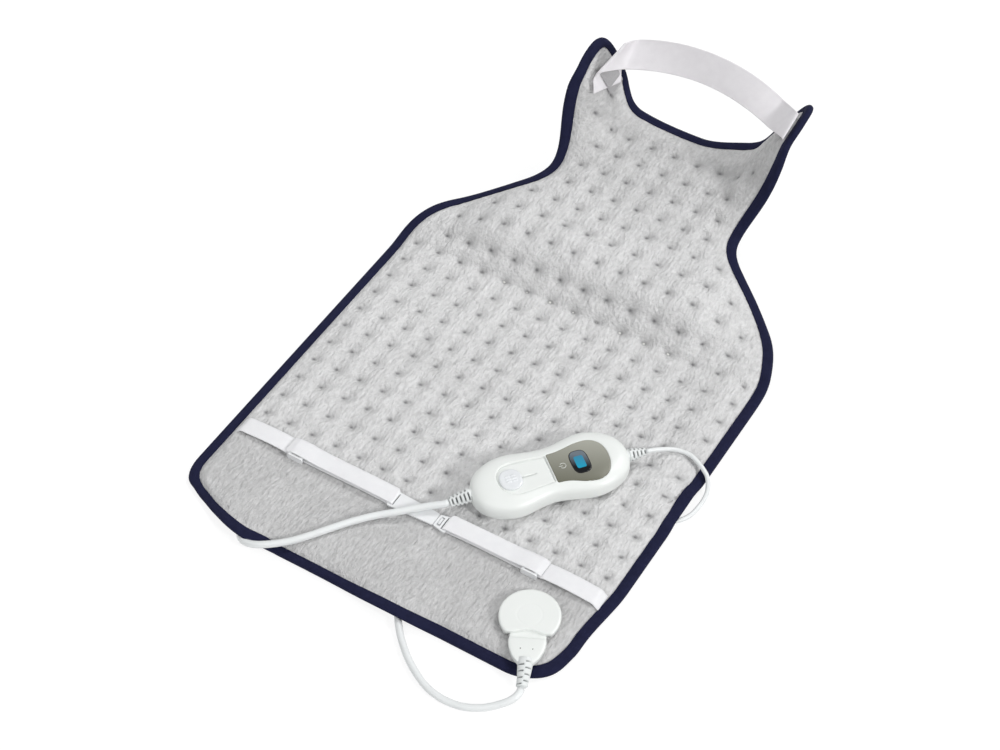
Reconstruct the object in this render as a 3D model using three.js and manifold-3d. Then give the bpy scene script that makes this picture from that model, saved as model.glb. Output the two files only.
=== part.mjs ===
// Heating pad for the back and neck, with a corded heat controller.
// Millimetres, +Z up. The pad lies flat on its back cover, and its neck part is raised.
// The pad's pattern is drawn flat, with u across from the centre line and v up from the
// bottom edge, and every layer is then bent by one function, so the layers stay parallel.
import * as THREE from 'three';
import { mergeVertices, mergeGeometries } from 'three/addons/utils/BufferGeometryUtils.js';
import Module from 'manifold-3d';

const wasm = await Module();
wasm.setup();

// Driving dimensions of the pad's pattern
const padWidth = 410;
const padLength = 660;
const cornerRadius = 62;
const sideHeight = 385;
const waistWidth = 213;
const waistHeight = 535;
const collarWidth = 310;
const collarHeight = 636;
const earTipWidth = 270;
const cutoutHeight = 633;
const bindingWidth = 11.5;
const bindingHeight = 6.8;
const tapeThickness = 1.4;
const tuftPitch = 26;
const firstTuftRow = 127;
const lastTuftRow = 621;

// How the neck part is raised: the slope of the centre line, and the fold of the ears
const riseStart = 360;
const riseMiddle = 410;
const riseEnd = 450;
const riseAngle = 45.3;
const collarSlopeStart = 449;
const collarSlopeLength = 60;
const collarSlopeAngle = 7.2;
const droopStart = 94;
const droopEnd = 173;
const droopShare = 0.6;
const droopFadeStart = 505;
const droopFadeLength = 40;
const earFoldAcross = 60;
const earFoldRadius = 26;
const earFoldAngle = 55;
const earFoldStart = 529;
const earFoldLength = 84;
const earLean = 8;

// Layers of the pad, as heights above its underside
const clearance = 0.3;
const backThickness = 0.9;
const carrierThickness = 0.8;
const wireDiameter = 1.2;
const waddingThickness = 1.6;
const backEdgeLow = 2.1;
const backEdgeHigh = 2.6;
const frontEdgeLow = 3.1;
const frontEdgeHigh = 4.5;
const plainHeight = 9.4;
const tuftHeight = 7.8;
const pillowHeight = 12;

// Straps
const neckStrapWidth = 28;
const neckStrapThickness = 1.6;
const neckStrapHalfSpan = 104;
const waistStrapWidth = 13;
const webbingThickness = 1.2;
const waistStrapAlong = 100;
const sliderAcross = 124;

// Controller
const controllerLength = 150;
const controllerLobeHalf = 32;
const controllerWaistHalf = 26.5;
const controllerThickness = 24;
const controllerX = 88.8;
const controllerY = 188.2;
const controllerAngle = 50.9;
const shellWall = 2;
const knobTravel = 13;

// Connector on the pad, and the cords
const socketDiameter = 53;
const socketX = 145.5;
const socketY = 58;
const plugAngle = -65.9;
const controlCableDiameter = 7.2;
const mainsLeadDiameter = 4.3;

// One overrun for cuts that pass right through
const overrun = 2;

const radians = THREE.MathUtils.degToRad;

// Smooth step from 0 to 1, flat at both ends
const ease = (t) => {
  const c = Math.min(Math.max(t, 0), 1);
  return c * c * (3 - 2 * c);
};

// Materials
const paint = (color, roughness, metalness = 0) =>
  new THREE.MeshStandardMaterial({ color, roughness, metalness });
const plush = paint(0xcfcfcf, 0.95);
const backCloth = paint(0xc4c4c6, 0.95);
const navyTape = paint(0x23284c, 0.85);
const fill = paint(0xf2f2ee, 1);
const carrierCloth = paint(0xe4ddc8, 0.95);
const heatingWire = paint(0xb34a2a, 0.6);
const loopTape = paint(0xe8e4e8, 0.9);
const webbing = paint(0xf2f2f4, 0.8);
const whitePlastic = paint(0xe8eee8, 0.3);
const clearPlastic = paint(0xeef0f2, 0.25);
const olivePlastic = paint(0x878576, 0.45);
const blackGlass = paint(0x0b0f14, 0.1);
const displayBlue = paint(0x2896be, 0.3);
const boardGreen = paint(0x1f6b3a, 0.6);
const darkPlastic = paint(0x2b2b2e, 0.5);
const brass = paint(0xc9a13b, 0.3, 1);
const steel = paint(0xb9bcc0, 0.3, 1);
const cordWhite = paint(0xeef0f0, 0.45);

// Geometry from points and triples of indices, with unused points left out and faces outwards
function solidOf(points, faces) {
  const used = new Map();
  const place = [];
  const index = [];
  for (const face of faces) {
    for (const i of face) {
      if (!used.has(i)) {
        used.set(i, used.size);
        place.push(...points[i]);
      }
      index.push(used.get(i));
    }
  }
  let volume = 0;
  for (let k = 0; k < index.length; k += 3) {
    const [a, b, c] = [0, 1, 2].map((n) => new THREE.Vector3(...place.slice(3 * index[k + n], 3 * index[k + n] + 3)));
    volume += a.dot(b.cross(c));
  }
  if (volume < 0) index.reverse();
  const geometry = new THREE.BufferGeometry();
  geometry.setAttribute('position', new THREE.Float32BufferAttribute(place, 3));
  geometry.setIndex(index);
  return geometry;
}

// Sections of equal counts joined into one skin, with a fan at each end or run round to close.
// Each quad is split along one diagonal, or along the other where the crossed list says so.
function skin(sections, closed = false, crossed = []) {
  const count = sections[0].length;
  const points = sections.flat();
  const faces = [];
  const last = closed ? sections.length : sections.length - 1;
  for (let s = 0; s < last; s += 1) {
    const here = s * count;
    const next = ((s + 1) % sections.length) * count;
    for (let k = 0; k < count; k += 1) {
      const side = (k + 1) % count;
      if (crossed[k]) faces.push([here + k, here + side, next + k], [here + side, next + side, next + k]);
      else faces.push([here + k, here + side, next + side], [here + k, next + side, next + k]);
    }
  }
  if (!closed) {
    for (const [start, flip] of [[0, true], [(sections.length - 1) * count, false]]) {
      const ring = points.slice(start, start + count);
      const centre = [0, 1, 2].map((n) => ring.reduce((sum, p) => sum + p[n], 0) / count);
      points.push(centre);
      for (let k = 0; k < count; k += 1) {
        const pair = [start + k, start + ((k + 1) % count)];
        faces.push(flip ? [pair[1], pair[0], points.length - 1] : [pair[0], pair[1], points.length - 1]);
      }
    }
  }
  return solidOf(points, faces);
}

// Joins and cuts
function toSolid(geometry) {
  const bare = geometry.clone();
  bare.deleteAttribute('normal');
  bare.deleteAttribute('uv');
  const merged = mergeVertices(bare, 1e-4);
  const mesh = new wasm.Mesh({
    numProp: 3,
    vertProperties: new Float32Array(merged.attributes.position.array),
    triVerts: new Uint32Array(merged.index.array),
  });
  return new wasm.Manifold(mesh);
}
function fromSolid(solid) {
  const mesh = solid.getMesh();
  const geometry = new THREE.BufferGeometry();
  geometry.setAttribute('position', new THREE.BufferAttribute(mesh.vertProperties, 3));
  geometry.setIndex(new THREE.BufferAttribute(mesh.triVerts, 1));
  return geometry;
}
const cut = (first, ...tools) =>
  fromSolid(tools.reduce((solid, tool) => solid.subtract(toSolid(tool)), toSolid(first)));
const join = (first, ...others) =>
  fromSolid(others.reduce((solid, other) => solid.add(toSolid(other)), toSolid(first)));
const overlap = (first, second) => fromSolid(toSolid(first).intersect(toSolid(second)));

// Plain shapes with their place in the mesh
const block = (x0, x1, y0, y1, z0, z1) =>
  new THREE.BoxGeometry(x1 - x0, y1 - y0, z1 - z0).translate((x0 + x1) / 2, (y0 + y1) / 2, (z0 + z1) / 2);
const post = (radius, x, y, z0, z1, sides = 20) =>
  new THREE.CylinderGeometry(radius, radius, z1 - z0, sides).rotateX(Math.PI / 2).translate(x, y, (z0 + z1) / 2);
const rodX = (radius, x0, x1, y, z, sides = 20) =>
  new THREE.CylinderGeometry(radius, radius, x1 - x0, sides).rotateZ(Math.PI / 2).translate((x0 + x1) / 2, y, z);
// A profile of (distance along x, radius) turned about the x axis
const turnedX = (profile, sides = 16) =>
  new THREE.LatheGeometry(profile.map(([x, r]) => new THREE.Vector2(r, x)), sides).rotateZ(-Math.PI / 2);
const turnedZ = (profile, sides = 36) =>
  new THREE.LatheGeometry(profile.map(([r, z]) => new THREE.Vector2(r, z)), sides).rotateX(Math.PI / 2);
const prism = (shape, z0, z1, curveSegments = 8) =>
  new THREE.ExtrudeGeometry(shape, { depth: z1 - z0, bevelEnabled: false, curveSegments }).translate(0, 0, z0);

// The object, with its own frame set at the end
const heatingPad = new THREE.Group();
function piece(name, geometry, material, parent = heatingPad) {
  const mesh = new THREE.Mesh(geometry, material);
  mesh.name = name;
  parent.add(mesh);
  return mesh;
}

// Routes of the cords, chosen by hand. The control cable runs from the controller over the
// bottom edge, back under the pad and out again to the plug. The mains lead runs over the
// right edge, back under the pad and up to its coil under the raised neck.
const cableOverPad = [
  [26.2, 116.8, 21.3], [23.4, 113.4, 20.7], [16, 108.3, 19.6], [6, 100.3, 18.4], [-7, 88.3, 17.2], [-21, 76.3, 16.2],
  [-36, 59.3, 16.4], [-50, 40.3, 16.4], [-61, 25.3, 15.8], [-73, 11.3, 14.2], [-81, 3.3, 13.8],
  [-90, -2.8, 12.8], [-101, -7.4, 9.9], [-111, -9, 6.7], [-120.5, -5.6, 4.4], [-126.6, 2.5, 3.75],
  [-128.5, 14, 3.65],
];
const cableUnderPad = [
  [-128.5, 14, 3.65], [-127, 22, 3.65], [-119, 32, 3.65], [-108, 38, 3.65], [-90, 42.3, 3.65],
  [-50, 45.3, 3.65], [-20, 43.5, 3.65], [0, 38.8, 3.65], [20, 29.5, 3.65], [34, 17, 3.65],
];
const cableToPlug = [
  [34.8, 16.3, 3.65], [45, 3.6, 3.65], [53, -6.7, 3.8], [64, -18.7, 3.8], [85, -35.7, 3.8],
  [112, -48.7, 3.8], [138, -49.7, 4], [157, -42.9, 5.6], [169.5, -33, 7.6],
  [175.6, -25, 9.5], [177.4, -19, 10.8], [176.8, -15.2, 11.3],
];
const rightEdge = padWidth / 2;
const leadOverPad = [
  [148.4, 258.6, 23], [151.4, 262.3, 22.4], [156.4, 269.3, 19.6], [163, 276.8, 16.6],
  [rightEdge - 33, 281.3, 15], [rightEdge - 23, 282.3, 14.2], [rightEdge - 14, 279.3, 13.2],
  [rightEdge - 6, 275.3, 12], [rightEdge, 271.3, 10.4], [rightEdge + 4.5, 265.3, 7.8],
  [rightEdge + 7.3, 258.3, 5], [rightEdge + 8, 250.3, 3], [rightEdge + 7.5, 241.3, 2.3],
];
const leadUnderPad = [
  [rightEdge + 7.5, 241.3, 2.3], [rightEdge + 6, 231, 2.2], [rightEdge + 1, 221, 2.2],
  [rightEdge - 8, 213, 2.2], [rightEdge - 19, 211, 2.2], [rightEdge - 28, 217, 2.2],
  [rightEdge - 33, 230, 2.2], [rightEdge - 35, 260, 2.2], [rightEdge - 35.5, 300, 2.2],
  [rightEdge - 36.5, 340, 2.2], [rightEdge - 41, 375, 2.2], [rightEdge - 54, 410, 2.2],
  [131, 445, 2.2], [105, 471, 2.3], [80, 488, 2.7],
  [57, 496.5, 3.15], [42, 498.3, 3.25], [33.3, 498.3, 3.25],
];

// The pad's underside rests on the cords that run under it, and the plush above takes up
// part of the height
const cableRidgeHeight = 8.2;
const cableRidgeFlat = 8.5;
const cableRidgeSlope = 38;
const leadRidgeHeight = 4.7;
const leadRidgeFlat = 6;
const leadRidgeSlope = 19;
const ridges = [
  { route: [cableOverPad.at(-2), ...cableUnderPad, cableToPlug[1]], height: cableRidgeHeight, flat: cableRidgeFlat, slope: cableRidgeSlope },
  { route: leadUnderPad.slice(0, 12), height: leadRidgeHeight, flat: leadRidgeFlat, slope: leadRidgeSlope },
];
const ridgeSqueezeShare = 0.65;
function distanceToRoute(route, u, v) {
  let least = Infinity;
  for (let k = 1; k < route.length; k += 1) {
    const [ax, ay] = route[k - 1];
    const [bx, by] = route[k];
    const span = (bx - ax) ** 2 + (by - ay) ** 2;
    const t = Math.min(Math.max(((u - ax) * (bx - ax) + (v - ay) * (by - ay)) / span, 0), 1);
    least = Math.min(least, Math.hypot(u - ax - t * (bx - ax), v - ay - t * (by - ay)));
  }
  return least;
}
const lift = (u, v) => Math.max(
  ...ridges.map((r) => r.height * (1 - ease((distanceToRoute(r.route, u, v) - r.flat) / r.slope))),
);

// The centre line of the pad seen from the side: flat, then up to the raised neck
const profileStep = 2;
const profile = [[riseStart, 0]];
function slopeAt(v) {
  const reach = v < riseMiddle ? riseMiddle - riseStart : riseEnd - riseMiddle;
  const bell = Math.max(1 - ((v - riseMiddle) / reach) ** 2, 0) ** 2;
  return radians(riseAngle) * bell + radians(collarSlopeAngle) * ease((v - collarSlopeStart) / collarSlopeLength);
}
for (let v = riseStart; v < padLength + profileStep; v += profileStep) {
  const [y, z] = profile.at(-1);
  profile.push([y + profileStep * Math.cos(slopeAt(v)), z + profileStep * Math.sin(slopeAt(v))]);
}
function centreLine(v) {
  if (v <= riseStart) return [v, 0];
  const k = Math.min(Math.floor((v - riseStart) / profileStep), profile.length - 2);
  const t = (v - riseStart) / profileStep - k;
  return [0, 1].map((n) => profile[k][n] + t * (profile[k + 1][n] - profile[k][n]));
}

// The pad's underside as a surface: the centre line, drooping shoulders, and ears that fold up
function underside(u, v) {
  const [y, rise] = centreLine(v);
  const across = Math.abs(u);
  const droop = droopShare * ease((across - droopStart) / (droopEnd - droopStart))
    * (1 - ease((v - droopFadeStart) / droopFadeLength));
  const z = rise * (1 - droop) + lift(u, v);
  const fold = radians(earFoldAngle) * ease((v - earFoldStart) / earFoldLength);
  const beyond = across - earFoldAcross;
  if (beyond <= 0 || fold <= 0) return [u, y, z];
  const turned = Math.min(beyond / earFoldRadius, fold);
  const straight = beyond - earFoldRadius * turned;
  const x = earFoldAcross + earFoldRadius * Math.sin(turned) + straight * Math.cos(turned);
  const raised = earFoldRadius * (1 - Math.cos(turned)) + straight * Math.sin(turned);
  const lean = radians(earLean);
  return [Math.sign(u) * x, y - raised * Math.sin(lean), z + raised * Math.cos(lean)];
}
// A point of the pattern at a height above the underside, square to it
function bend(u, v, height) {
  const small = profileStep / 4;
  const at = new THREE.Vector3(...underside(u, v));
  const across = new THREE.Vector3(...underside(u + small, v)).sub(new THREE.Vector3(...underside(u - small, v)));
  const along = new THREE.Vector3(...underside(u, v + small)).sub(new THREE.Vector3(...underside(u, v - small)));
  return at.addScaledVector(across.cross(along).normalize(), height).toArray();
}

// The outline of the pattern, drawn as shares of the spans between named sizes
const half = padWidth / 2;
const plainPitch = 62;
const shoulderShares = [[0, 0.353], [0.254, 0.52], [0.579, 0.687], [0.843, 0.813], [1, 0.847], [1, 1]];
const earShares = [[0, 0.248], [0.361, 0.376], [0.691, 0.545], [0.897, 0.634], [1, 0.792], [1, 1]];
const tipShares = [[0, 0.708], [0.3, 1], [1, 1]];
const cutoutShares = [[0.096, 0], [0.2, 0.037], [0.281, 0.259], [0.43, 0.778], [0.667, 1], [1, 1]];
function curvesBetween([x0, y0], [x1, y1], shares) {
  const at = ([s, t]) => new THREE.Vector2(x0 + s * (x1 - x0), y0 + t * (y1 - y0));
  const curves = [];
  for (let k = 0; k < shares.length; k += 3) {
    const start = k === 0 ? at([0, 0]) : at(shares[k - 1]);
    curves.push(new THREE.CubicBezierCurve(start, at(shares[k]), at(shares[k + 1]), at(shares[k + 2])));
  }
  return curves;
}
// Even stops along a straight edge, with closer ones where a cord crosses it
const crossingPitch = 13;
const crossingReach = 2;
function stops(from, to, count, crossings) {
  const even = Array.from({ length: count + 1 }, (_, k) => from + (k * (to - from)) / count);
  const close = crossings.flatMap((at) =>
    Array.from({ length: 2 * crossingReach + 1 }, (_, k) => at + (k - crossingReach) * crossingPitch));
  const room = Math.abs(to - from) / count / 2;
  const kept = even.filter((e) => close.every((c) => Math.abs(c - e) > room));
  return [...kept, ...close].filter((e) => e >= from && e <= to).sort((a, b) => a - b);
}
const cableEntry = cableOverPad.at(-2)[0];
const cableExit = cableToPlug[1][0] + clearance;
const leadEntry = leadUnderPad[1][1];
const straightEnd = half - cornerRadius;
const corner = new THREE.EllipseCurve(straightEnd, cornerRadius, cornerRadius, cornerRadius, -Math.PI / 2, 0);
const upperRight = [
  ...curvesBetween([half, sideHeight], [waistWidth / 2, waistHeight], shoulderShares),
  ...curvesBetween([waistWidth / 2, waistHeight], [collarWidth / 2, collarHeight], earShares),
  ...curvesBetween([collarWidth / 2, collarHeight], [earTipWidth / 2, padLength], tipShares),
  ...curvesBetween([earTipWidth / 2, padLength], [0, cutoutHeight], cutoutShares),
].flatMap((curve) => {
  const count = Math.max(Math.round(curve.getLength() / crossingPitch / 2), 2);
  return curve.getSpacedPoints(count).slice(1);
});
const cornerPoints = corner.getPoints(6).slice(1, -1);
const sideCount = Math.round((sideHeight - cornerRadius) / plainPitch) * 2;
const mirrored = (points) => points.map((p) => new THREE.Vector2(-p.x, p.y)).reverse();
const outline = [
  ...stops(-straightEnd, straightEnd, 8, [cableEntry, cableExit]).map((u) => new THREE.Vector2(u, 0)),
  ...cornerPoints,
  ...stops(cornerRadius, sideHeight, sideCount, [leadEntry]).map((v) => new THREE.Vector2(half, v)),
  ...upperRight,
  ...mirrored(upperRight.slice(0, -1)),
  ...stops(cornerRadius, sideHeight, sideCount, []).map((v) => new THREE.Vector2(-half, v)).reverse(),
  ...mirrored(cornerPoints),
];
function inset(distance) {
  return outline.map((p, k) => {
    const before = outline[(k + outline.length - 1) % outline.length];
    const after = outline[(k + 1) % outline.length];
    const inBefore = p.clone().sub(before).normalize();
    const inAfter = after.clone().sub(p).normalize();
    const along = inBefore.add(inAfter).normalize();
    return new THREE.Vector2(p.x - along.y * distance, p.y + along.x * distance);
  });
}
function distanceInside(u, v) {
  let least = Infinity;
  let within = false;
  for (let k = 0; k < outline.length; k += 1) {
    const a = outline[k];
    const b = outline[(k + 1) % outline.length];
    const span = a.distanceToSquared(b);
    const t = Math.min(Math.max(((u - a.x) * (b.x - a.x) + (v - a.y) * (b.y - a.y)) / span, 0), 1);
    least = Math.min(least, Math.hypot(u - a.x - t * (b.x - a.x), v - a.y - t * (b.y - a.y)));
    if ((a.y > v) !== (b.y > v) && u < a.x + ((v - a.y) * (b.x - a.x)) / (b.y - a.y)) within = !within;
  }
  return within ? least : -least;
}

// Points of the pattern: the hidden edge, the stitched line, the full plush, the tufts and the
// pillows between them
const edgeInset = 2.4;
const seamInset = bindingWidth + 0.8;
const fullInset = 17;
const latticeInset = 22.5;
const ringAt = (distance, kind) => inset(distance).map((p) => ({ u: p.x, v: p.y, kind }));
const edgeRing = ringAt(edgeInset, 'edge');
const seamRing = ringAt(seamInset, 'seam');
const fullRing = ringAt(fullInset, 'full');
const lattice = (offset, kind) => {
  const points = [];
  for (let v = firstTuftRow + offset; v <= lastTuftRow + offset; v += tuftPitch) {
    for (let u = -8 * tuftPitch + offset; u < half; u += tuftPitch) {
      if (distanceInside(u, v) > latticeInset) points.push({ u, v, kind });
    }
  }
  return points;
};
const tufts = lattice(0, 'tuft');
const pillows = lattice(tuftPitch / 2, 'pillow');
const plainRows = [];
for (let v = latticeInset + 1; v < firstTuftRow - tuftPitch / 3; v += (3 * plainPitch) / 4) {
  for (let u = -4 * plainPitch; u <= 4 * plainPitch; u += plainPitch) {
    if (distanceInside(u, v) > latticeInset) plainRows.push({ u, v, kind: 'plain' });
  }
}
// Points beside each cord under the pad, where the pad bends over it
const ridgePitch = 30;
const ridgeRoom = 8;
const ridgePoints = [];
for (const ridge of ridges) {
  const line = new THREE.CatmullRomCurve3(ridge.route.map(([x, y]) => new THREE.Vector3(x, y, 0)));
  const count = Math.round(line.getLength() / ridgePitch);
  for (let k = 0; k <= count; k += 1) {
    const at = line.getPointAt(k / count);
    const along = line.getTangentAt(k / count);
    for (const side of [-ridge.flat - ridge.slope, -ridge.flat, ridge.flat, ridge.flat + ridge.slope]) {
      const p = { u: at.x - along.y * side, v: at.y + along.x * side, kind: 'ridge' };
      const near = (q) => Math.hypot(q.u - p.u, q.v - p.v) < ridgeRoom;
      if (distanceInside(p.u, p.v) < latticeInset || [...tufts, ...pillows, ...ridgePoints].some(near)) continue;
      ridgePoints.push(p);
    }
  }
}

// Where the heating layers lie inside the covers
const layersStart = firstTuftRow - 5;
const layersHalf = 117;
const layersBend = riseStart - 20;
const layersNeck = 470;
const layersWaist = 520;
const innerReach = (v) => (v < layersNeck ? 4.5 : v < layersWaist ? 3.5 : 2.5) * tuftPitch + clearance;
const layerCorners = [0, 1, 2].flatMap((k) => {
  const v = layersStart + (k * (layersBend - tuftPitch - layersStart)) / 2;
  return [-layersHalf, 0, layersHalf].map((u) => ({ u, v, kind: 'layer' }));
});

// Triangles between the points, by adding one point at a time
function triangulate(points) {
  const spots = points.map((p) => [p.u + p.v / tuftPitch, p.v]);
  const far = 10 * padLength;
  spots.push([-far, -far], [far, -far], [0, far]);
  const count = points.length;
  const withCircle = (a, b, c) => {
    const [[ax, ay], [bx, by], [cx, cy]] = [spots[a], spots[b], spots[c]];
    const d = 2 * ((bx - ax) * (cy - ay) - (by - ay) * (cx - ax));
    const bb = (bx - ax) ** 2 + (by - ay) ** 2;
    const cc = (cx - ax) ** 2 + (cy - ay) ** 2;
    const x = ((cy - ay) * bb - (by - ay) * cc) / d;
    const y = ((bx - ax) * cc - (cx - ax) * bb) / d;
    return { corners: [a, b, c], x: ax + x, y: ay + y, reach: x * x + y * y };
  };
  let triangles = [withCircle(count, count + 1, count + 2)];
  for (let i = 0; i < count; i += 1) {
    const rim = new Map();
    const [x, y] = spots[i];
    triangles = triangles.filter((t) => {
      if ((t.x - x) ** 2 + (t.y - y) ** 2 >= t.reach) return true;
      t.corners.forEach((a, k) => {
        const b = t.corners[(k + 1) % 3];
        if (!rim.delete(`${b},${a}`)) rim.set(`${a},${b}`, [a, b]);
      });
      return false;
    });
    for (const [a, b] of rim.values()) triangles.push(withCircle(a, b, i));
  }
  const inner = triangles.map((t) => t.corners).filter((t) => {
    if (t.some((i) => i >= count)) return false;
    const [u, v] = ['u', 'v'].map((key) => t.reduce((sum, i) => sum + points[i][key], 0) / 3);
    return distanceInside(u, v) > fullInset;
  });
  return joinPillows(points, inner);
}
// Each edge between two tufts gives way to the one between the pillows beside it
function joinPillows(points, triangles) {
  const kinds = (ids, kind) => ids.every((i) => points[i].kind === kind);
  for (let a = 0; a < triangles.length; a += 1) {
    for (let k = 0; k < 3; k += 1) {
      const [p, q, r] = [0, 1, 2].map((n) => triangles[a][(k + n) % 3]);
      if (!kinds([p, q], 'tuft') || !kinds([r], 'pillow')) continue;
      const b = triangles.findIndex((t, i) => i !== a && t.includes(p) && t.includes(q));
      if (b < 0) continue;
      const s = triangles[b].find((i) => i !== p && i !== q);
      if (!kinds([s], 'pillow')) continue;
      triangles[a] = [p, s, r];
      triangles[b] = [s, q, r];
      break;
    }
  }
  return triangles;
}
function rimOf(triangles) {
  const rim = new Map();
  for (const t of triangles) {
    t.forEach((a, k) => {
      const b = t[(k + 1) % 3];
      if (!rim.delete(`${b},${a}`)) rim.set(`${a},${b}`, [a, b]);
    });
  }
  return [...rim.values()];
}
// One closed layer between an upper and a lower face, whose rims have the same points
function layer(upper, lower) {
  const place = (face) => face.points.map((p) => bend(p.u, p.v, face.height(p)));
  const shift = upper.points.length;
  const faces = [...upper.triangles, ...lower.triangles.map(([a, b, c]) => [shift + a, shift + c, shift + b])];
  for (const [a, b] of rimOf(upper.triangles)) faces.push([b, a, shift + a], [b, shift + a, shift + b]);
  return solidOf([...place(upper), ...place(lower)], faces);
}

// A face of the pattern: two strips along the edge, and triangles inside them
function face(...fieldPoints) {
  const count = outline.length;
  const field = triangulate([...fullRing, ...fieldPoints]).map((t) => t.map((i) => i + 2 * count));
  const strips = [0, count].flatMap((start) => outline.flatMap((_, k) => {
    const [a, b] = [start + k, start + ((k + 1) % count)];
    return [[a, b, b + count], [a, b + count, a + count]];
  }));
  return { points: [...edgeRing, ...seamRing, ...fullRing, ...fieldPoints], triangles: [...strips, ...field] };
}
const fine = face(...tufts, ...pillows, ...plainRows, ...ridgePoints);
const coarse = face(
  ...ridgePoints,
  ...layerCorners,
  ...pillows.filter((p) => p.v > layersBend || lift(p.u, p.v) > clearance),
  ...tufts.filter((p) => (p.v > riseEnd && Math.abs(p.u) > earFoldAcross) || lift(p.u, p.v) > clearance),
);
const isInner = ({ u, v, kind }) =>
  kind === 'layer' || (kind === 'pillow' && v > layersBend && Math.abs(u) < innerReach(v));
const inner = {
  points: coarse.points,
  triangles: coarse.triangles.filter((t) => t.every((i) => isInner(coarse.points[i]))),
};

const pinched = (p) => p.kind === 'edge' || p.kind === 'seam';
const carrierUnder = backThickness + clearance;
const wireHeight = carrierUnder + carrierThickness + clearance + wireDiameter / 2;
const waddingUnder = wireHeight + wireDiameter / 2 + clearance;
const frontUnder = waddingUnder + waddingThickness + clearance;
const frontTop = { tuft: tuftHeight, pillow: pillowHeight, full: plainHeight, plain: plainHeight };
const underSqueezeShare = 0.8 * ridgeSqueezeShare;
function plushTop(p) {
  if (pinched(p)) return frontEdgeHigh;
  const among = p.v < firstTuftRow ? plainHeight : (tuftHeight + pillowHeight) / 2;
  return (frontTop[p.kind] ?? among) - ridgeSqueezeShare * lift(p.u, p.v);
}
piece('plush_front_cover', layer(
  { ...fine, height: plushTop },
  { ...coarse, height: (p) => (pinched(p) ? frontEdgeLow : frontUnder - underSqueezeShare * lift(p.u, p.v)) },
), plush);
piece('back_cover', layer(
  { ...coarse, height: (p) => (pinched(p) ? backEdgeHigh : backThickness) },
  { ...coarse, height: (p) => (pinched(p) ? backEdgeLow : 0) },
), backCloth);
piece('wire_carrier', layer(
  { ...inner, height: () => carrierUnder + carrierThickness },
  { ...inner, height: () => carrierUnder },
), carrierCloth);
piece('wadding', layer(
  { ...inner, height: () => frontUnder - clearance },
  { ...inner, height: () => waddingUnder },
), fill);

// The binding, a folded tape round the edge of both covers
const tapeCorner = 1.8;
const bindingProfile = [
  [bindingWidth, 0], [tapeCorner, 0], [0, tapeCorner], [0, bindingHeight - tapeCorner],
  [tapeCorner, bindingHeight], [bindingWidth, bindingHeight], [bindingWidth, bindingHeight - tapeThickness],
  [tapeThickness, bindingHeight - tapeThickness], [tapeThickness, tapeThickness],
  [bindingWidth, tapeThickness],
];
const bindingRings = bindingProfile.map(([distance, height]) =>
  inset(distance).map((p) => bend(p.x, p.y, height)));
const bindingInwards = bindingProfile.map(([distance], k) =>
  distance > bindingProfile[(k + 1) % bindingProfile.length][0]);
piece('edge_binding', skin(
  outline.map((_, k) => bindingRings.map((ring) => ring[k])), true, bindingInwards,
), navyTape);

// The heating wire runs to and fro along the rows between the tufts, and follows the mesh of
// the layers from row to row
const wireRows = [];
for (let v = firstTuftRow + tuftPitch / 2; v < cutoutHeight - tuftPitch; v += tuftPitch) wireRows.push(v);
const wireReach = (v) => (v < layersWaist ? 3 : 1.5) * tuftPitch;
const turnSteps = 4;
const wireStops = [];
wireRows.forEach((v, k) => {
  const forward = k % 2 === 0 ? 1 : -1;
  const reach = wireReach(v);
  const columns = v > layersBend - tuftPitch ? Math.round((2 * reach) / tuftPitch) : 1;
  for (let n = 0; n <= columns; n += 1) {
    wireStops.push([forward * (-reach + (2 * reach * n) / columns), v, v, 0]);
  }
  if (k === wireRows.length - 1) return;
  const next = wireReach(wireRows[k + 1]);
  for (let n = 1; n < turnSteps; n += 1) {
    const turn = (Math.PI * n) / turnSteps;
    const u = reach + (n / turnSteps) * (next - reach) + (tuftPitch / 2) * Math.sin(turn);
    wireStops.push([forward * u, v, wireRows[k + 1], (1 - Math.cos(turn)) / 2]);
  }
});
const wirePlace = ([u, v0, v1, share], height) => {
  const low = new THREE.Vector3(...bend(u, v0, height));
  return low.lerp(new THREE.Vector3(...bend(u, v1, height)), share);
};
// A tube of a few sides along stops, with its first corner along a given up direction
function rope(centres, ups, diameter, sides) {
  const sections = centres.map((centre, k) => {
    const before = centres[Math.max(k - 1, 0)];
    const after = centres[Math.min(k + 1, centres.length - 1)];
    const along = after.clone().sub(before).normalize();
    const aside = along.clone().cross(ups[k]).normalize();
    const up = aside.clone().cross(along);
    return Array.from({ length: sides }, (_, n) => {
      const turn = (2 * Math.PI * n) / sides;
      return centre.clone()
        .addScaledVector(up, (Math.cos(turn) * diameter) / 2)
        .addScaledVector(aside, (Math.sin(turn) * diameter) / 2)
        .toArray();
    });
  });
  return skin(sections);
}
piece('heating_wire', rope(
  wireStops.map((stop) => wirePlace(stop, wireHeight)),
  wireStops.map((stop) => wirePlace(stop, wireHeight + wireDiameter).sub(wirePlace(stop, wireHeight))),
  wireDiameter,
  4,
), heatingWire);

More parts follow.
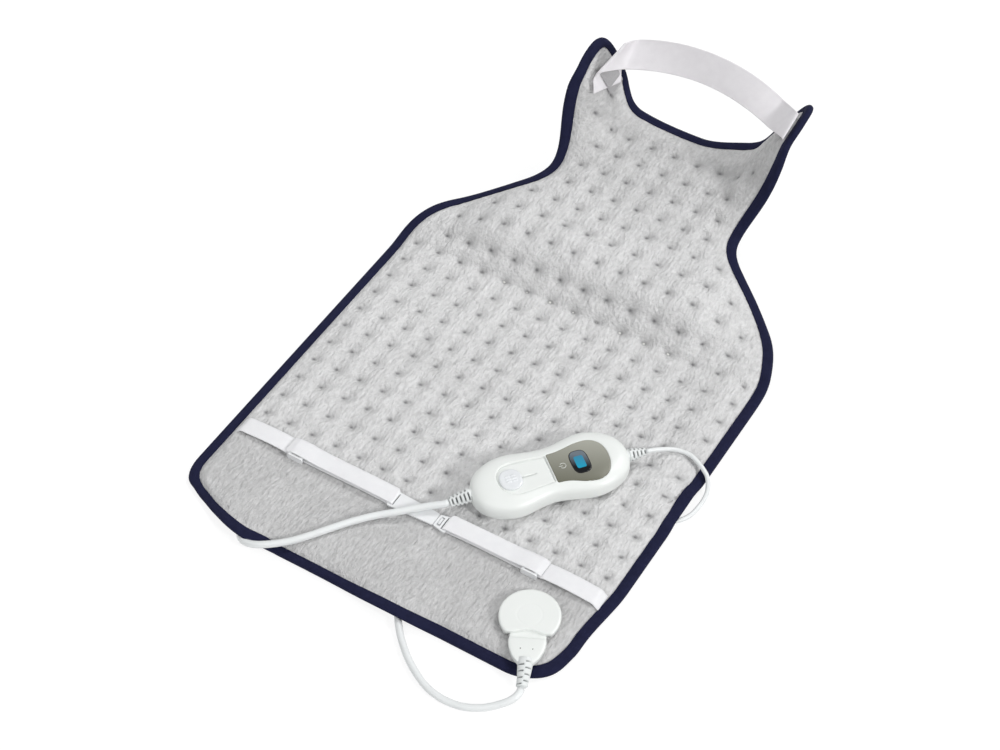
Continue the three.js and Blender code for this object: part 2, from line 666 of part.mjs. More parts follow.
// Two overheating cut-outs beside the wire, and the leads to them from the connector
const cutoutBlockLength = 16;
const cutoutBlockWidth = 7;
const cutoutBlockHeight = 3.4;
const cutoutAcross = layersHalf + cutoutBlockWidth;
const feedDiameter = 1.8;
const feedHeight = backThickness + clearance + feedDiameter / 2;
const cutoutsAlong = [firstTuftRow + tuftPitch / 2, firstTuftRow + 2.5 * tuftPitch];
cutoutsAlong.forEach((v, k) => {
  const low = backThickness + clearance;
  const body = block(
    cutoutAcross - cutoutBlockWidth / 2, cutoutAcross + cutoutBlockWidth / 2,
    v - cutoutBlockLength / 2, v + cutoutBlockLength / 2, low, low + cutoutBlockHeight,
  );
  piece(`overheat_cutout_${k + 1}`, body, darkPlastic);
});
const up = new THREE.Vector3(0, 0, 1);
const feedSpots = [
  [[socketX - 6, socketY + 8], [cutoutAcross + 2, layersStart - 20], [cutoutAcross, cutoutsAlong[0] - cutoutBlockLength / 2 - clearance]],
  [[cutoutAcross, cutoutsAlong[0] + cutoutBlockLength / 2 + clearance], [cutoutAcross, cutoutsAlong[1] - cutoutBlockLength / 2 - clearance]],
  [[socketX + 6, socketY + 8], [cutoutAcross + 12, layersStart], [cutoutAcross + 12, cutoutsAlong[1]], [cutoutAcross + cutoutBlockWidth / 2 + feedDiameter / 2 + clearance, cutoutsAlong[1] + cutoutBlockLength]],
];
feedSpots.forEach((spots, k) => {
  piece(`feed_lead_${k + 1}`, rope(
    spots.map(([x, y]) => new THREE.Vector3(x, y, feedHeight)), spots.map(() => up), feedDiameter, 6,
  ), cordWhite);
});

// The strap behind the neck: a band that arches between the ears. It is sewn to the right ear
// and closed with a hook patch on the left one.
const strapSag = 20;
const strapDrop = 15.5;
const strapMiddleY = 637.8;
const strapMiddleZ = 131.5;
const strapTiltMiddle = 58;
const strapTiltEnd = 21;
const strapSteps = 14;
const patchThickness = 1.2;
const patchWidth = 24;
const patchLength = 28;
const patchAcross = 121;
const patchAlong = 627;
const strapHingeGap = 0.7;
const earNormal = (side) => new THREE.Vector3(...bend(side * patchAcross, patchAlong, 1))
  .sub(new THREE.Vector3(...bend(side * patchAcross, patchAlong, 0)));
function strapSection(x) {
  const share = x / neckStrapHalfSpan;
  const centre = new THREE.Vector3(x, strapMiddleY - strapSag * share ** 2, strapMiddleZ - strapDrop * share ** 2);
  const slope = (-2 * share) / neckStrapHalfSpan;
  const along = new THREE.Vector3(1, slope * strapSag, slope * strapDrop).normalize();
  const tilt = radians(strapTiltMiddle - (strapTiltMiddle - strapTiltEnd) * Math.abs(share) ** 1.5);
  const across = new THREE.Vector3(0, Math.cos(tilt), Math.sin(tilt));
  const normal = earNormal(Math.sign(x) || 1);
  across.addScaledVector(normal, -(share ** 2) * across.dot(normal)).normalize();
  const through = along.clone().cross(across).normalize();
  return [[-1, -1], [1, -1], [1, 1], [-1, 1]].map(([s, t]) => centre.clone()
    .addScaledVector(across, (s * neckStrapWidth) / 2)
    .addScaledVector(through, (t * neckStrapThickness) / 2)
    .toArray());
}
// A block of the pattern between two heights, over part of an ear
function earBlock(side, [low, high], [from, to], [start, end], columns = 3, rows = 1) {
  const line = (u, height) => Array.from({ length: rows + 1 }, (_, k) =>
    bend(side * u, start + (k * (end - start)) / rows, height));
  return skin(Array.from({ length: columns + 1 }, (_, k) => {
    const u = from + (k * (to - from)) / columns;
    return [...line(u, low), ...line(u, high).reverse()];
  }));
}
const earSpan = [earFoldAcross + earFoldRadius, collarWidth / 2 + overrun];
const earRun = [patchAlong - patchLength, padLength + overrun];
const earDepth = -pillowHeight;
const loopHeight = pillowHeight + clearance;
const hookHeight = loopHeight + patchThickness + clearance;
const strapSeat = hookHeight + patchThickness + clearance;
piece('neck_strap', cut(
  skin(Array.from({ length: strapSteps + 1 }, (_, k) => strapSection(neckStrapHalfSpan * ((2 * k) / strapSteps - 1)))),
  earBlock(-1, [earDepth, strapSeat], earSpan, earRun, 6, 3),
  earBlock(1, [earDepth, pillowHeight + strapHingeGap], earSpan, earRun, 6, 3),
), loopTape);
const patchSpan = (length) => [patchAcross - length / 2, patchAcross + length / 2];
const patchRun = (width) => [patchAlong - width / 2, patchAlong + width / 2];
piece('loop_patch', earBlock(
  -1, [loopHeight, loopHeight + patchThickness], patchSpan(patchWidth + 8), patchRun(patchLength + 6),
), loopTape);
piece('hook_patch', earBlock(
  -1, [hookHeight, hookHeight + patchThickness], patchSpan(patchWidth), patchRun(patchLength),
), loopTape);

// The two halves of the waist strap. Each runs from the binding through its slider to the
// clasp, round the clasp's bar and back to the slider.
const plushGap = plainHeight + clearance;
const sliderBar = 1.5;
const lowerLayer = plushGap + sliderBar + clearance + webbingThickness / 2;
const layerPitch = 1.7;
const upperLayer = lowerLayer + layerPitch;
const claspThickness = 1.8;
const claspUnder = plushGap + claspThickness;
const claspBarLow = claspUnder + clearance;
const claspBarHigh = claspBarLow + claspThickness;
const strapEndHeight = frontEdgeHigh + 2 * clearance + webbingThickness / 2 + 0.5;
const strapEndAcross = half - bindingWidth - 3 * clearance;
const sliderHalfLength = 8;
function waistStrap(side, barAcross, barLength) {
  const wrap = barAcross - clearance - webbingThickness / 2;
  const below = claspBarLow - clearance - webbingThickness / 2;
  const above = claspBarHigh + clearance + webbingThickness / 2;
  const bar = barAcross + barLength;
  const line = [
    [strapEndAcross, strapEndHeight], [strapEndAcross - 2.4, strapEndHeight + 2.0],
    [half - fullInset + 0.4, plainHeight + 1.6], [half - fullInset - 5, lowerLayer - 0.5],
    [half - 2 * fullInset, lowerLayer], [bar + 24, lowerLayer], [bar + 8, lowerLayer - 0.6], [bar, below],
    [barAcross + clearance, below], [wrap + 0.2, below + 0.6], [wrap, (below + above) / 2], [wrap + 0.2, above - 0.6],
    [barAcross + clearance, above], [bar, above], [bar + 8, upperLayer + 0.3], [bar + 24, upperLayer],
    [sliderAcross + sliderHalfLength + 1, upperLayer],
  ];
  const sections = line.map(([x, z], k) => {
    const [bx, bz] = line[Math.max(k - 1, 0)];
    const [ax, az] = line[Math.min(k + 1, line.length - 1)];
    const reach = Math.hypot(ax - bx, az - bz);
    const [nx, nz] = [(bz - az) / reach, (ax - bx) / reach];
    return [[-1, -1], [1, -1], [1, 1], [-1, 1]].map(([s, t]) => [
      side * (x + (nx * t * webbingThickness) / 2),
      waistStrapAlong + (s * waistStrapWidth) / 2,
      z + (nz * t * webbingThickness) / 2,
    ]);
  });
  return skin(sections);
}
// A slider: side rails, two bars over the layers and one under them
function slider() {
  const halfWidth = waistStrapWidth / 2 + clearance;
  const rail = 2;
  const low = plushGap;
  const high = upperLayer + webbingThickness / 2 + clearance + sliderBar;
  const side = new THREE.Shape();
  const round = 1.6;
  side.moveTo(-sliderHalfLength + round, low);
  side.lineTo(sliderHalfLength - round, low);
  side.quadraticCurveTo(sliderHalfLength, low, sliderHalfLength, low + round);
  side.lineTo(sliderHalfLength, high - round);
  side.quadraticCurveTo(sliderHalfLength, high, sliderHalfLength - round, high);
  side.lineTo(-sliderHalfLength + round, high);
  side.quadraticCurveTo(-sliderHalfLength, high, -sliderHalfLength, high - round);
  side.lineTo(-sliderHalfLength, low + round);
  side.quadraticCurveTo(-sliderHalfLength, low, -sliderHalfLength + round, low);
  const body = prism(side, -halfWidth - rail, halfWidth + rail, 3).rotateX(Math.PI / 2);
  const bar = 3.6;
  const beyond = sliderHalfLength + overrun;
  return cut(
    body,
    block(-beyond, beyond, -halfWidth, halfWidth, low + sliderBar, high - sliderBar),
    block(bar - sliderHalfLength, sliderHalfLength - bar, -halfWidth, halfWidth, low + sliderBar, high + overrun),
    block(-beyond, -bar / 2, -halfWidth, halfWidth, low - overrun, low + sliderBar + 0.1),
    block(bar / 2, beyond, -halfWidth, halfWidth, low - overrun, low + sliderBar + 0.1),
  );
}
const claspBar = 3;
const eyeBarAcross = 34.6;
const hookBarAcross = 21;
piece('waist_strap_right', waistStrap(1, eyeBarAcross, claspBar), webbing);
piece('waist_strap_left', waistStrap(-1, hookBarAcross, claspBar), webbing);
for (const [name, side] of [['right', 1], ['left', -1]]) {
  const mesh = piece(`slider_${name}`, slider(), whitePlastic);
  mesh.position.set(side * sliderAcross, waistStrapAlong, 0);
}

// The clasp: an eye plate on the right half, and a plate with an upturned hook on the left half
const claspHalfWidth = 9;
const claspSlotHalf = waistStrapWidth / 2 + clearance;
const claspSlot = 2.6;
const hookBar = 2.4;
const hookTip = 2;
const hookHalfWidth = 4.5;
const eyeWindow = hookTip + 2 * 0.7;
const eyeStart = eyeBarAcross - claspSlot - 2 - eyeWindow - hookBar;
const roundedPlate = (x0, x1, halfStart, halfEnd, radius) => {
  const shape = new THREE.Shape();
  shape.moveTo(x0 + radius, -halfStart);
  shape.lineTo(x1 - radius, -halfEnd);
  shape.quadraticCurveTo(x1, -halfEnd, x1, -halfEnd + radius);
  shape.lineTo(x1, halfEnd - radius);
  shape.quadraticCurveTo(x1, halfEnd, x1 - radius, halfEnd);
  shape.lineTo(x0 + radius, halfStart);
  shape.quadraticCurveTo(x0, halfStart, x0, halfStart - radius);
  shape.lineTo(x0, -halfStart + radius);
  shape.quadraticCurveTo(x0, -halfStart, x0 + radius, -halfStart);
  return shape;
};
const through = [claspBarLow - overrun, claspBarHigh + overrun];
piece('clasp_eye', cut(
  prism(roundedPlate(eyeStart, eyeBarAcross + claspBar, hookHalfWidth + 2.4, claspHalfWidth, 1.6), claspBarLow, claspBarHigh, 3),
  block(eyeStart + hookBar, eyeStart + hookBar + eyeWindow, -hookHalfWidth - 0.6, hookHalfWidth + 0.6, ...through),
  block(eyeBarAcross - claspSlot, eyeBarAcross, -claspSlotHalf, claspSlotHalf, ...through),
), whitePlastic).position.y = waistStrapAlong;
const hookEnd = eyeStart + hookBar + (eyeWindow + hookTip) / 2;
piece('clasp_hook', cut(
  join(
    prism(roundedPlate(-hookBarAcross - claspBar, eyeStart - 0.6, claspHalfWidth, hookHalfWidth + 2.4, 1.6), claspBarLow, claspBarHigh, 3),
    prism(roundedPlate(-hookBarAcross + claspSlot, hookEnd, hookHalfWidth + 2, hookHalfWidth, 1), plushGap, claspUnder, 3),
    block(-hookBarAcross + claspSlot + 3, eyeStart - 3, -hookHalfWidth, hookHalfWidth, claspUnder - 0.5, claspBarLow + 0.5),
    block(hookEnd - hookTip, hookEnd, -hookHalfWidth + 1, hookHalfWidth - 1, claspUnder - 0.5, claspBarHigh + 0.7),
  ),
  block(-hookBarAcross, -hookBarAcross + claspSlot, -claspSlotHalf, claspSlotHalf, ...through),
), whitePlastic).position.y = waistStrapAlong;

// The controller, in a group of its own: x along it towards the display, z up from its underside
const controller = new THREE.Group();
controller.position.set(controllerX, controllerY, pillowHeight + 2 * clearance);
controller.rotation.z = radians(controllerAngle);
heatingPad.add(controller);
const lobeAtShare = 0.6;
const endPowerShares = [3.4, 2.1];
const shellSides = 26;
function controllerRing(z, insetDistance) {
  const reach = controllerLength / 2;
  const width = (x) => controllerWaistHalf
    + (controllerLobeHalf - controllerWaistHalf) * ease(Math.abs(x) / reach / lobeAtShare);
  const at = (turn) => {
    const x = reach * Math.cos(turn);
    const end = (1 - Math.abs(x / reach) ** endPowerShares[0]) ** (1 / endPowerShares[1]);
    return new THREE.Vector2(x, Math.sign(Math.sin(turn)) * width(x) * end);
  };
  return Array.from({ length: shellSides }, (_, k) => {
    const turn = (2 * Math.PI * (k + 0.5)) / shellSides;
    const point = at(turn);
    const along = at(turn + 0.01).sub(at(turn - 0.01)).normalize();
    return [point.x - along.y * insetDistance, point.y + along.x * insetDistance, z];
  });
}
// Rings of each half as shares of the thickness and of the widest half width
const topShares = [[0.51, 0], [0.64, 0.01], [0.79, 0.05], [0.89, 0.125], [0.96, 0.25], [0.985, 0.44], [1, 0.62]];
const bottomShares = [[0.5, 0], [0.27, 0.01], [0.12, 0.05], [0.025, 0.14], [0, 0.28]];
const shellHalf = (shares, wall = 0) => skin(shares.map(([z, i], k) => {
  const inwards = Math.sign(shares.at(-1)[0] - shares[0][0]);
  const offset = k === 0 && wall > 0 ? -inwards * overrun : -inwards * wall;
  return controllerRing(z * controllerThickness + offset, i * controllerLobeHalf + wall);
}));
const shellTop = shellHalf(topShares);
const lowered = (depth) => shellTop.clone().translate(0, 0, -depth);
const partingLow = bottomShares[0][0] * controllerThickness;
const partingHigh = topShares[0][0] * controllerThickness;
const innerTop = controllerThickness - shellWall;

// The track of the heat switch, sunk into the top, and its slot
const trackDepth = 3;
const trackFloor = controllerThickness - trackDepth;
const trackLength = 50;
const trackStartHalf = 15.5;
const trackEndHalf = 18.5;
const knobAt = -37.5;
const knobHalfLength = 10.5;
const knobHalfWidth = 11.5;
const stemHalf = 2;
function trackShape(grow) {
  const shape = new THREE.Shape();
  const end = -trackLength - grow;
  const wide = trackEndHalf + grow;
  const bendAt = -0.62 * trackLength;
  shape.moveTo(grow, -trackStartHalf - grow);
  shape.lineTo(grow, trackStartHalf + grow);
  shape.lineTo(bendAt, wide);
  shape.bezierCurveTo(0.9 * end, wide, end, 0.6 * wide, end, 0);
  shape.bezierCurveTo(end, -0.6 * wide, 0.9 * end, -wide, bendAt, -wide);
  return shape;
}
// The panel round the display
const panelStart = 1.2;
const panelEnd = 55;
const panelStartHalf = 16;
const panelWideHalf = 21.5;
const panelWideAt = 37;
function panelShape(grow) {
  const shape = new THREE.Shape();
  const [start, end, wide] = [panelStart - grow, panelEnd + grow, panelWideHalf + grow];
  shape.moveTo(start, -panelStartHalf - grow);
  shape.bezierCurveTo(panelWideAt / 2, -panelStartHalf - grow, 0.6 * panelWideAt, -wide, panelWideAt, -wide);
  shape.bezierCurveTo(0.88 * end, -wide, end, -0.6 * wide, end, 0);
  shape.bezierCurveTo(end, 0.6 * wide, 0.88 * end, wide, panelWideAt, wide);
  shape.bezierCurveTo(0.6 * panelWideAt, wide, panelWideAt / 2, panelStartHalf + grow, start, panelStartHalf + grow);
  return shape;
}
const windowAt = 27;
const windowHalfLength = 8.7;
const windowHalfWidth = 13.2;
const windowCorner = 7.5;
function windowShape(grow) {
  const [x, y, r] = [windowHalfLength + grow, windowHalfWidth + grow, windowCorner + grow];
  const shape = new THREE.Shape();
  shape.moveTo(windowAt - x + r, -y);
  shape.lineTo(windowAt + x - r, -y);
  shape.quadraticCurveTo(windowAt + x, -y, windowAt + x, -y + r);
  shape.lineTo(windowAt + x, y - r);
  shape.quadraticCurveTo(windowAt + x, y, windowAt + x - r, y);
  shape.lineTo(windowAt - x + r, y);
  shape.quadraticCurveTo(windowAt - x, y, windowAt - x, y - r);
  shape.lineTo(windowAt - x, -y + r);
  shape.quadraticCurveTo(windowAt - x, -y, windowAt - x + r, -y);
  return shape;
}
const panelThickness = 1;
const above = controllerThickness + overrun;
const displayHalfLength = 4;
const displayHalfWidth = 6.5;

// Strain reliefs: a collar caught in the housing, a neck, and ribs that taper to the cord
const collarThickness = 2;
const neckLength = 9.2;
function relief(start, end, length, ribs, collar, neck, flat = 1, bow = 0) {
  const rib = (length - neckLength) / ribs;
  const groove = 1.3;
  const grooveDepth = 1.3;
  const stations = collar > 0 ? [[0, collar], [collarThickness, collar], [collarThickness, neck], [neckLength, neck]] : [];
  for (let k = 0; k < ribs; k += 1) {
    const at = neckLength + k * rib;
    const radius = start + ((end - start) * k) / (ribs - 1);
    stations.push([at, radius], [at + rib - groove, radius - 0.2]);
    if (k < ribs - 1) stations.push([at + rib - groove, radius - grooveDepth], [at + rib, radius - grooveDepth]);
  }
  return skin(stations.map(([x, radius]) => Array.from({ length: 10 }, (_, k) => {
    const turn = (2 * Math.PI * (k + 0.5)) / 10;
    const aside = bow * ((x - neckLength) / length) ** 2;
    return [x, radius * Math.cos(turn) + aside, radius * flat * Math.sin(turn)];
  })));
}
const reliefAt = controllerLength / 2 - 8.5;
const reliefZ = (partingLow + partingHigh) / 2;
const reliefs = [
  { name: 'control_cable_relief', side: -1, y: 3.5, tilt: 7.5, start: 7, end: 5, length: 28.1, ribs: 6, collar: 6.7, neck: 5.6 },
  { name: 'mains_lead_relief', side: 1, y: -1.7, tilt: 4.2, start: 6, end: 3.8, length: 24.9, ribs: 5, collar: 6.2, neck: 4.8 },
];
const placeRelief = (geometry, r) => {
  geometry.rotateY(radians(r.tilt));
  if (r.side < 0) geometry.rotateZ(Math.PI);
  return geometry.translate(r.side * reliefAt, r.y, reliefZ);
};
const reliefHoles = reliefs.map((r) =>
  placeRelief(rodX(r.neck + clearance, collarThickness + clearance, neckLength + 3 * overrun, 0, 0, 16), r));
const screwAt = 60;
const bossRadius = 4;
const screwRadius = 1.3;
const screwHeadRadius = 2.8;
const screwHeadDepth = 2.4;
const boardLow = 5.4;
const boardThickness = 1.6;
const boardTop = boardLow + boardThickness + clearance;

piece('controller_top_shell', cut(
  join(
    cut(shellTop, shellHalf(topShares, shellWall)),
    overlap(prism(trackShape(shellWall), trackFloor - shellWall, above), shellTop),
    post(bossRadius, screwAt, 0, partingHigh, innerTop + 0.5, 16),
    post(bossRadius, -screwAt, 0, partingHigh, innerTop + 0.5, 16),
  ),
  prism(trackShape(0), trackFloor, above),
  cut(prism(panelShape(clearance), partingHigh, above), lowered(panelThickness + clearance)),
  prism(windowShape(clearance - 1.5), partingHigh, above, 4),
  block(knobAt - stemHalf - 0.5, knobAt + knobTravel + stemHalf + 9, -1, 1, partingHigh, above),
  post(screwRadius + clearance, screwAt, 0, 0, innerTop - 4, 12),
  post(screwRadius + clearance, -screwAt, 0, 0, innerTop - 4, 12),
  ...reliefHoles,
), whitePlastic, controller);
const boardPosts = [[-40, -14], [-40, 14], [38, -14], [38, 14]];
piece('controller_bottom_shell', cut(
  join(
    cut(shellHalf(bottomShares), shellHalf(bottomShares, shellWall)),
    post(bossRadius, screwAt, 0, 0.5, partingLow, 16),
    post(bossRadius, -screwAt, 0, 0.5, partingLow, 16),
    ...boardPosts.map(([x, y]) => post(2, x, y, shellWall / 2, boardLow - clearance, 8)),
  ),
  ...[screwAt, -screwAt].flatMap((x) => [
    post(screwRadius + clearance, x, 0, -overrun, above, 12),
    post(screwHeadRadius + clearance, x, 0, -overrun, screwHeadDepth, 12),
  ]),
  ...reliefHoles,
), whitePlastic, controller);
piece('display_panel', cut(
  overlap(prism(panelShape(0), trackFloor, above), cut(shellTop, lowered(panelThickness))),
  prism(windowShape(clearance), partingHigh, above, 4),
), olivePlastic, controller);
piece('display_window', cut(
  prism(windowShape(0), controllerThickness - panelThickness, controllerThickness + 0.2, 4),
  block(
    windowAt - displayHalfLength - clearance, windowAt + displayHalfLength + clearance,
    -displayHalfWidth - clearance, displayHalfWidth + clearance, trackFloor, above,
  ),
), blackGlass, controller);
const displayLow = boardTop + 7;
piece('display', block(
  windowAt - displayHalfLength, windowAt + displayHalfLength,
  -displayHalfWidth, displayHalfWidth, displayLow, controllerThickness,
), displayBlue, controller);
piece('display_holder', block(
  windowAt - 2 * displayHalfLength, windowAt + 2 * displayHalfLength,
  -2 * displayHalfWidth, 2 * displayHalfWidth, boardTop, displayLow - clearance,
), darkPlastic, controller);
const boardFrom = -54;
const boardTo = 50;
const boardHalfWidth = 20;
piece('circuit_board', block(
  boardFrom, boardTo, -boardHalfWidth, boardHalfWidth, boardLow, boardLow + boardThickness,
), boardGreen, controller);
const relayFrom = -6;
const relayLength = 18;
const relayNear = 3;
const relayWidth = 15;
piece('relay', block(
  relayFrom, relayFrom + relayLength, relayNear, relayNear + relayWidth, boardTop, trackFloor - 2 * shellWall,
), darkPlastic, controller);
const fuseRadius = 2.6;
const fuseFrom = -46;
const fuseLength = 20;
const fuseAcross = -14;
piece('fuse', rodX(
  fuseRadius, fuseFrom, fuseFrom + fuseLength, fuseAcross, boardTop + fuseRadius, 12,
), brass, controller);
const footHigh = trackFloor - shellWall - clearance;
const footLow = footHigh - 2;
const switchHalfWidth = 6;
piece('heat_switch', block(
  knobAt - knobHalfLength, knobAt + knobTravel + knobHalfLength,
  -switchHalfWidth, switchHalfWidth, boardTop, footLow - clearance,
), darkPlastic, controller);
const knobRing = (z, grow) => Array.from({ length: 24 }, (_, k) => {
  const turn = (2 * Math.PI * k) / 24;
  return [(knobHalfLength + grow) * Math.cos(turn), (knobHalfWidth + grow) * Math.sin(turn), z];
});
const knobLow = trackFloor + clearance;
const knobHigh = controllerThickness + 0.6;
const ridgeHeight = 0.9;
const ridgeAt = 3.6;
piece('heat_switch_knob', join(
  skin([knobRing(knobLow, 0), knobRing(knobHigh - 1.2, 0), knobRing(knobHigh - 0.4, -0.8), knobRing(knobHigh, -2.2)]),
  ...[-1, 0, 1].map((k) =>
    block(k * ridgeAt - 0.7, k * ridgeAt + 0.7, -knobHalfWidth / 2, knobHalfWidth / 2, knobLow + 1, knobHigh + ridgeHeight)),
  block(-stemHalf, stemHalf, -0.7, 0.7, footLow, knobLow + 1),
  block(-stemHalf - 1.5, stemHalf + 1.5, -3, 3, footLow, footHigh),
), clearPlastic, controller).position.x = knobAt;
reliefs.forEach((r) => piece(
  r.name, placeRelief(relief(r.start, r.end, r.length, r.ribs, r.collar, r.neck), r), whitePlastic, controller,
));
[screwAt, -screwAt].forEach((x, k) => piece(`shell_screw_${k + 1}`, join(
  post(screwHeadRadius, x, 0, clearance, screwHeadDepth - clearance, 16),
  post(screwRadius, x, 0, clearance, innerTop - 5, 10),
), steel, controller));

// The connector on the pad, with x towards its plug
const connector = new THREE.Group();
connector.position.set(socketX, socketY, 0);
connector.rotation.z = radians(plugAngle);
heatingPad.add(connector);
const baseThickness = 1.8;
const plugStart = 20.6;
const baseRadius = plugStart - 2 * clearance;
const capLow = plushGap + baseThickness + clearance;
const capHeight = 5.6;
const capRadius = socketDiameter / 2;
const capTop = capLow + capHeight;
const chordAt = 18.9;
const chordWave = 1.2;
const chordWaves = 26;
const ledgeHeight = 2.6;
const plugEnd = 56;
const plugHalf = 17.2;
const plugLow = plushGap + 2 * clearance;
const tongueStart = 5;
const tongueHalf = 12;
const tongueLow = capLow + clearance;
const tongueHigh = tongueLow + 3.3;
const pinRadius = 1;
const pinPitch = 7;
const pinLength = 10;
piece('socket_base', turnedZ([[0, plushGap], [baseRadius, plushGap], [baseRadius, plushGap + baseThickness], [0, plushGap + baseThickness]]), whitePlastic, connector);
const chord = new THREE.Shape();
chord.moveTo(2 * capRadius, -2 * capRadius);
chord.lineTo(2 * capRadius, 2 * capRadius);
for (let k = 12; k >= -12; k -= 1) {
  const y = (k * 1.1 * capRadius) / 12;
  chord.lineTo(chordAt - chordWave * Math.cos((2 * Math.PI * y) / chordWaves), y);
}
piece('socket_cap', cut(
  turnedZ([
    [0, capLow], [capRadius - 0.5, capLow], [capRadius, capLow + 0.6], [capRadius, capTop - 2],
    [capRadius - 0.9, capTop - 0.7], [capRadius - 4.5, capTop - 0.1], [0, capTop],
  ], 40),
  prism(chord, capLow + ledgeHeight, capTop + overrun),
  block(chordAt + chordWave + clearance, 2 * capRadius, -plugHalf - clearance, plugHalf + clearance, plugLow - overrun, capTop + overrun),
  block(tongueStart - clearance - 1.3, 2 * capRadius, -tongueHalf - clearance, tongueHalf + clearance, capLow - overrun, tongueHigh + clearance),
), whitePlastic, connector);
[-1, 0, 1].forEach((k) => piece(
  `socket_pin_${k + 2}`,
  rodX(pinRadius, tongueStart - 1.3, tongueStart - 1.3 + pinLength, k * pinPitch, (tongueLow + tongueHigh) / 2, 10),
  brass, connector,
));
// Sections of the plug along its length: place, half width and top height
const plugSections = [
  [plugStart, plugHalf - 0.8, 6.6], [plugStart + 3, plugHalf, 7], [plugStart + 10, plugHalf - 0.7, 6.9],
  [plugStart + 18, plugHalf - 3, 6.7], [plugStart + 25, plugHalf - 6.4, 6.5], [plugEnd - 4.6, plugHalf - 9, 6.4],
  [plugEnd, plugHalf - 10, 6.4],
];
const plugRound = 1.8;
const plugSection = ([x, halfWidth, height]) => {
  const low = plugLow;
  const high = plushGap + height;
  const [y, r] = [halfWidth, plugRound];
  return [
    [x, -y + r / 2, low], [x, y - r / 2, low], [x, y, low + r / 2], [x, y, high - r],
    [x, y - 0.4 * r, high - 0.3 * r], [x, y - r, high], [x, -y + r, high], [x, -y + 0.4 * r, high - 0.3 * r],
    [x, -y, high - r], [x, -y, low + r / 2],
  ];
};
piece('pad_plug', cut(
  join(
    skin(plugSections.map(plugSection)),
    block(tongueStart, plugStart + 2, -tongueHalf, tongueHalf, tongueLow, tongueHigh),
  ),
  ...[-1, 0, 1].map((k) =>
    rodX(pinRadius + clearance, tongueStart - overrun, tongueStart + pinLength + 1, k * pinPitch, (tongueLow + tongueHigh) / 2, 10)),
), whitePlastic, connector);
const plugReliefLength = 23;
const plugReliefTilt = 5;
const plugReliefZ = plugLow + 3.1;
const plugReliefBow = -2.6;
const plugRelief = relief(7, 5.6, plugReliefLength + neckLength, 6, 0, 0, 0.72, plugReliefBow)
  .translate(plugEnd + clearance - neckLength, 0, 0)
  .translate(-plugEnd, 0, 0).rotateY(radians(plugReliefTilt)).translate(plugEnd, 0, plugReliefZ);
piece('pad_plug_relief', plugRelief, whitePlastic, connector);

// Cords
function circle(diameter, sides) {
  return new THREE.Shape(Array.from({ length: sides }, (_, k) => {
    const turn = (2 * Math.PI * (k + 0.5)) / sides;
    return new THREE.Vector2((diameter / 2) * Math.cos(turn), (diameter / 2) * Math.sin(turn));
  }));
}
const points3 = (route) => route.map((p) => new THREE.Vector3(...p));
function cord(name, route, diameter, sides) {
  const path = new THREE.CatmullRomCurve3(points3(route), false, 'centripetal');
  const steps = Math.round(path.getLength() / (3 * diameter));
  piece(name, new THREE.ExtrudeGeometry(circle(diameter, sides), { steps, bevelEnabled: false, extrudePath: path }), cordWhite);
  return path.getLength();
}
const lengths = {};
lengths.control_cable = cord('control_cable', [...cableOverPad.slice(0, -1), ...cableUnderPad], controlCableDiameter, 8);
lengths.control_cable_end = cord('control_cable_end', cableToPlug, controlCableDiameter, 8);
lengths.mains_lead = cord('mains_lead', [...leadOverPad.slice(0, -1), ...leadUnderPad], mainsLeadDiameter, 8);

// The put-away rest of the mains lead: a coil of four layers that spiral in and out in turn
const coilX = 28;
const coilY = 530;
const coilPitch = 4.75;
const coilOuter = 31.7;
const coilLayers = 4;
const turnsPerLayer = 2.25;
const coilLow = 3.25;
const coilTurns = coilLayers * turnsPerLayer;
const stepsPerTurn = 20;
const coilLeadIn = 5;
function coilPoint(turns) {
  const layerAt = Math.min(Math.floor(turns / turnsPerLayer), coilLayers - 1);
  const within = turns - layerAt * turnsPerLayer;
  const inwards = layerAt % 2 === 0 ? within : turnsPerLayer - within;
  const radius = coilOuter - coilPitch * inwards;
  const angle = -Math.PI / 2 - 2 * Math.PI * turns;
  let z = coilLow;
  for (let k = 1; k < coilLayers; k += 1) z += coilPitch * ease((turns - k * turnsPerLayer + 0.25) / 0.5);
  return new THREE.Vector3(coilX + radius * Math.cos(angle), coilY + radius * Math.sin(angle), z);
}
class CoilCurve extends THREE.Curve {
  getPoint(t) {
    const steps = coilTurns * stepsPerTurn + 2;
    const at = t * steps - 1;
    if (at < 0) return coilPoint(0).add(new THREE.Vector3(-at * coilLeadIn, 0, 0));
    const beyond = Math.max(at - coilTurns * stepsPerTurn, 0);
    return coilPoint(Math.min(at / stepsPerTurn, coilTurns)).add(new THREE.Vector3(-beyond * coilLeadIn, 0, 0));
  }
  getPointAt(t) { return this.getPoint(t); }
  getTangentAt(t) {
    const small = 0.25 / (coilTurns * stepsPerTurn);
    return this.getPoint(Math.min(t + small, 1)).sub(this.getPoint(Math.max(t - small, 0))).normalize();
  }
  getTangent(t) { return this.getTangentAt(t); }
}
const coilSteps = coilTurns * stepsPerTurn + 2;
piece('mains_lead_coil', new THREE.ExtrudeGeometry(
  circle(mainsLeadDiameter, 6), { steps: coilSteps, bevelEnabled: false, extrudePath: new CoilCurve() },
), cordWhite);
const coilSpots = Array.from({ length: coilTurns * stepsPerTurn + 1 }, (_, k) => coilPoint(k / stepsPerTurn));
let coilGap = Infinity;
coilSpots.forEach((p, i) => coilSpots.forEach((q, j) => {
  if (j - i > stepsPerTurn / 2) coilGap = Math.min(coilGap, p.distanceTo(q) - mainsLeadDiameter);
}));
console.log(`least gap between turns of the coil: ${coilGap.toFixed(2)} mm`);
lengths.coil = coilSpots.slice(1).reduce((sum, p, k) => sum + p.distanceTo(coilSpots[k]), 2 * coilLeadIn);

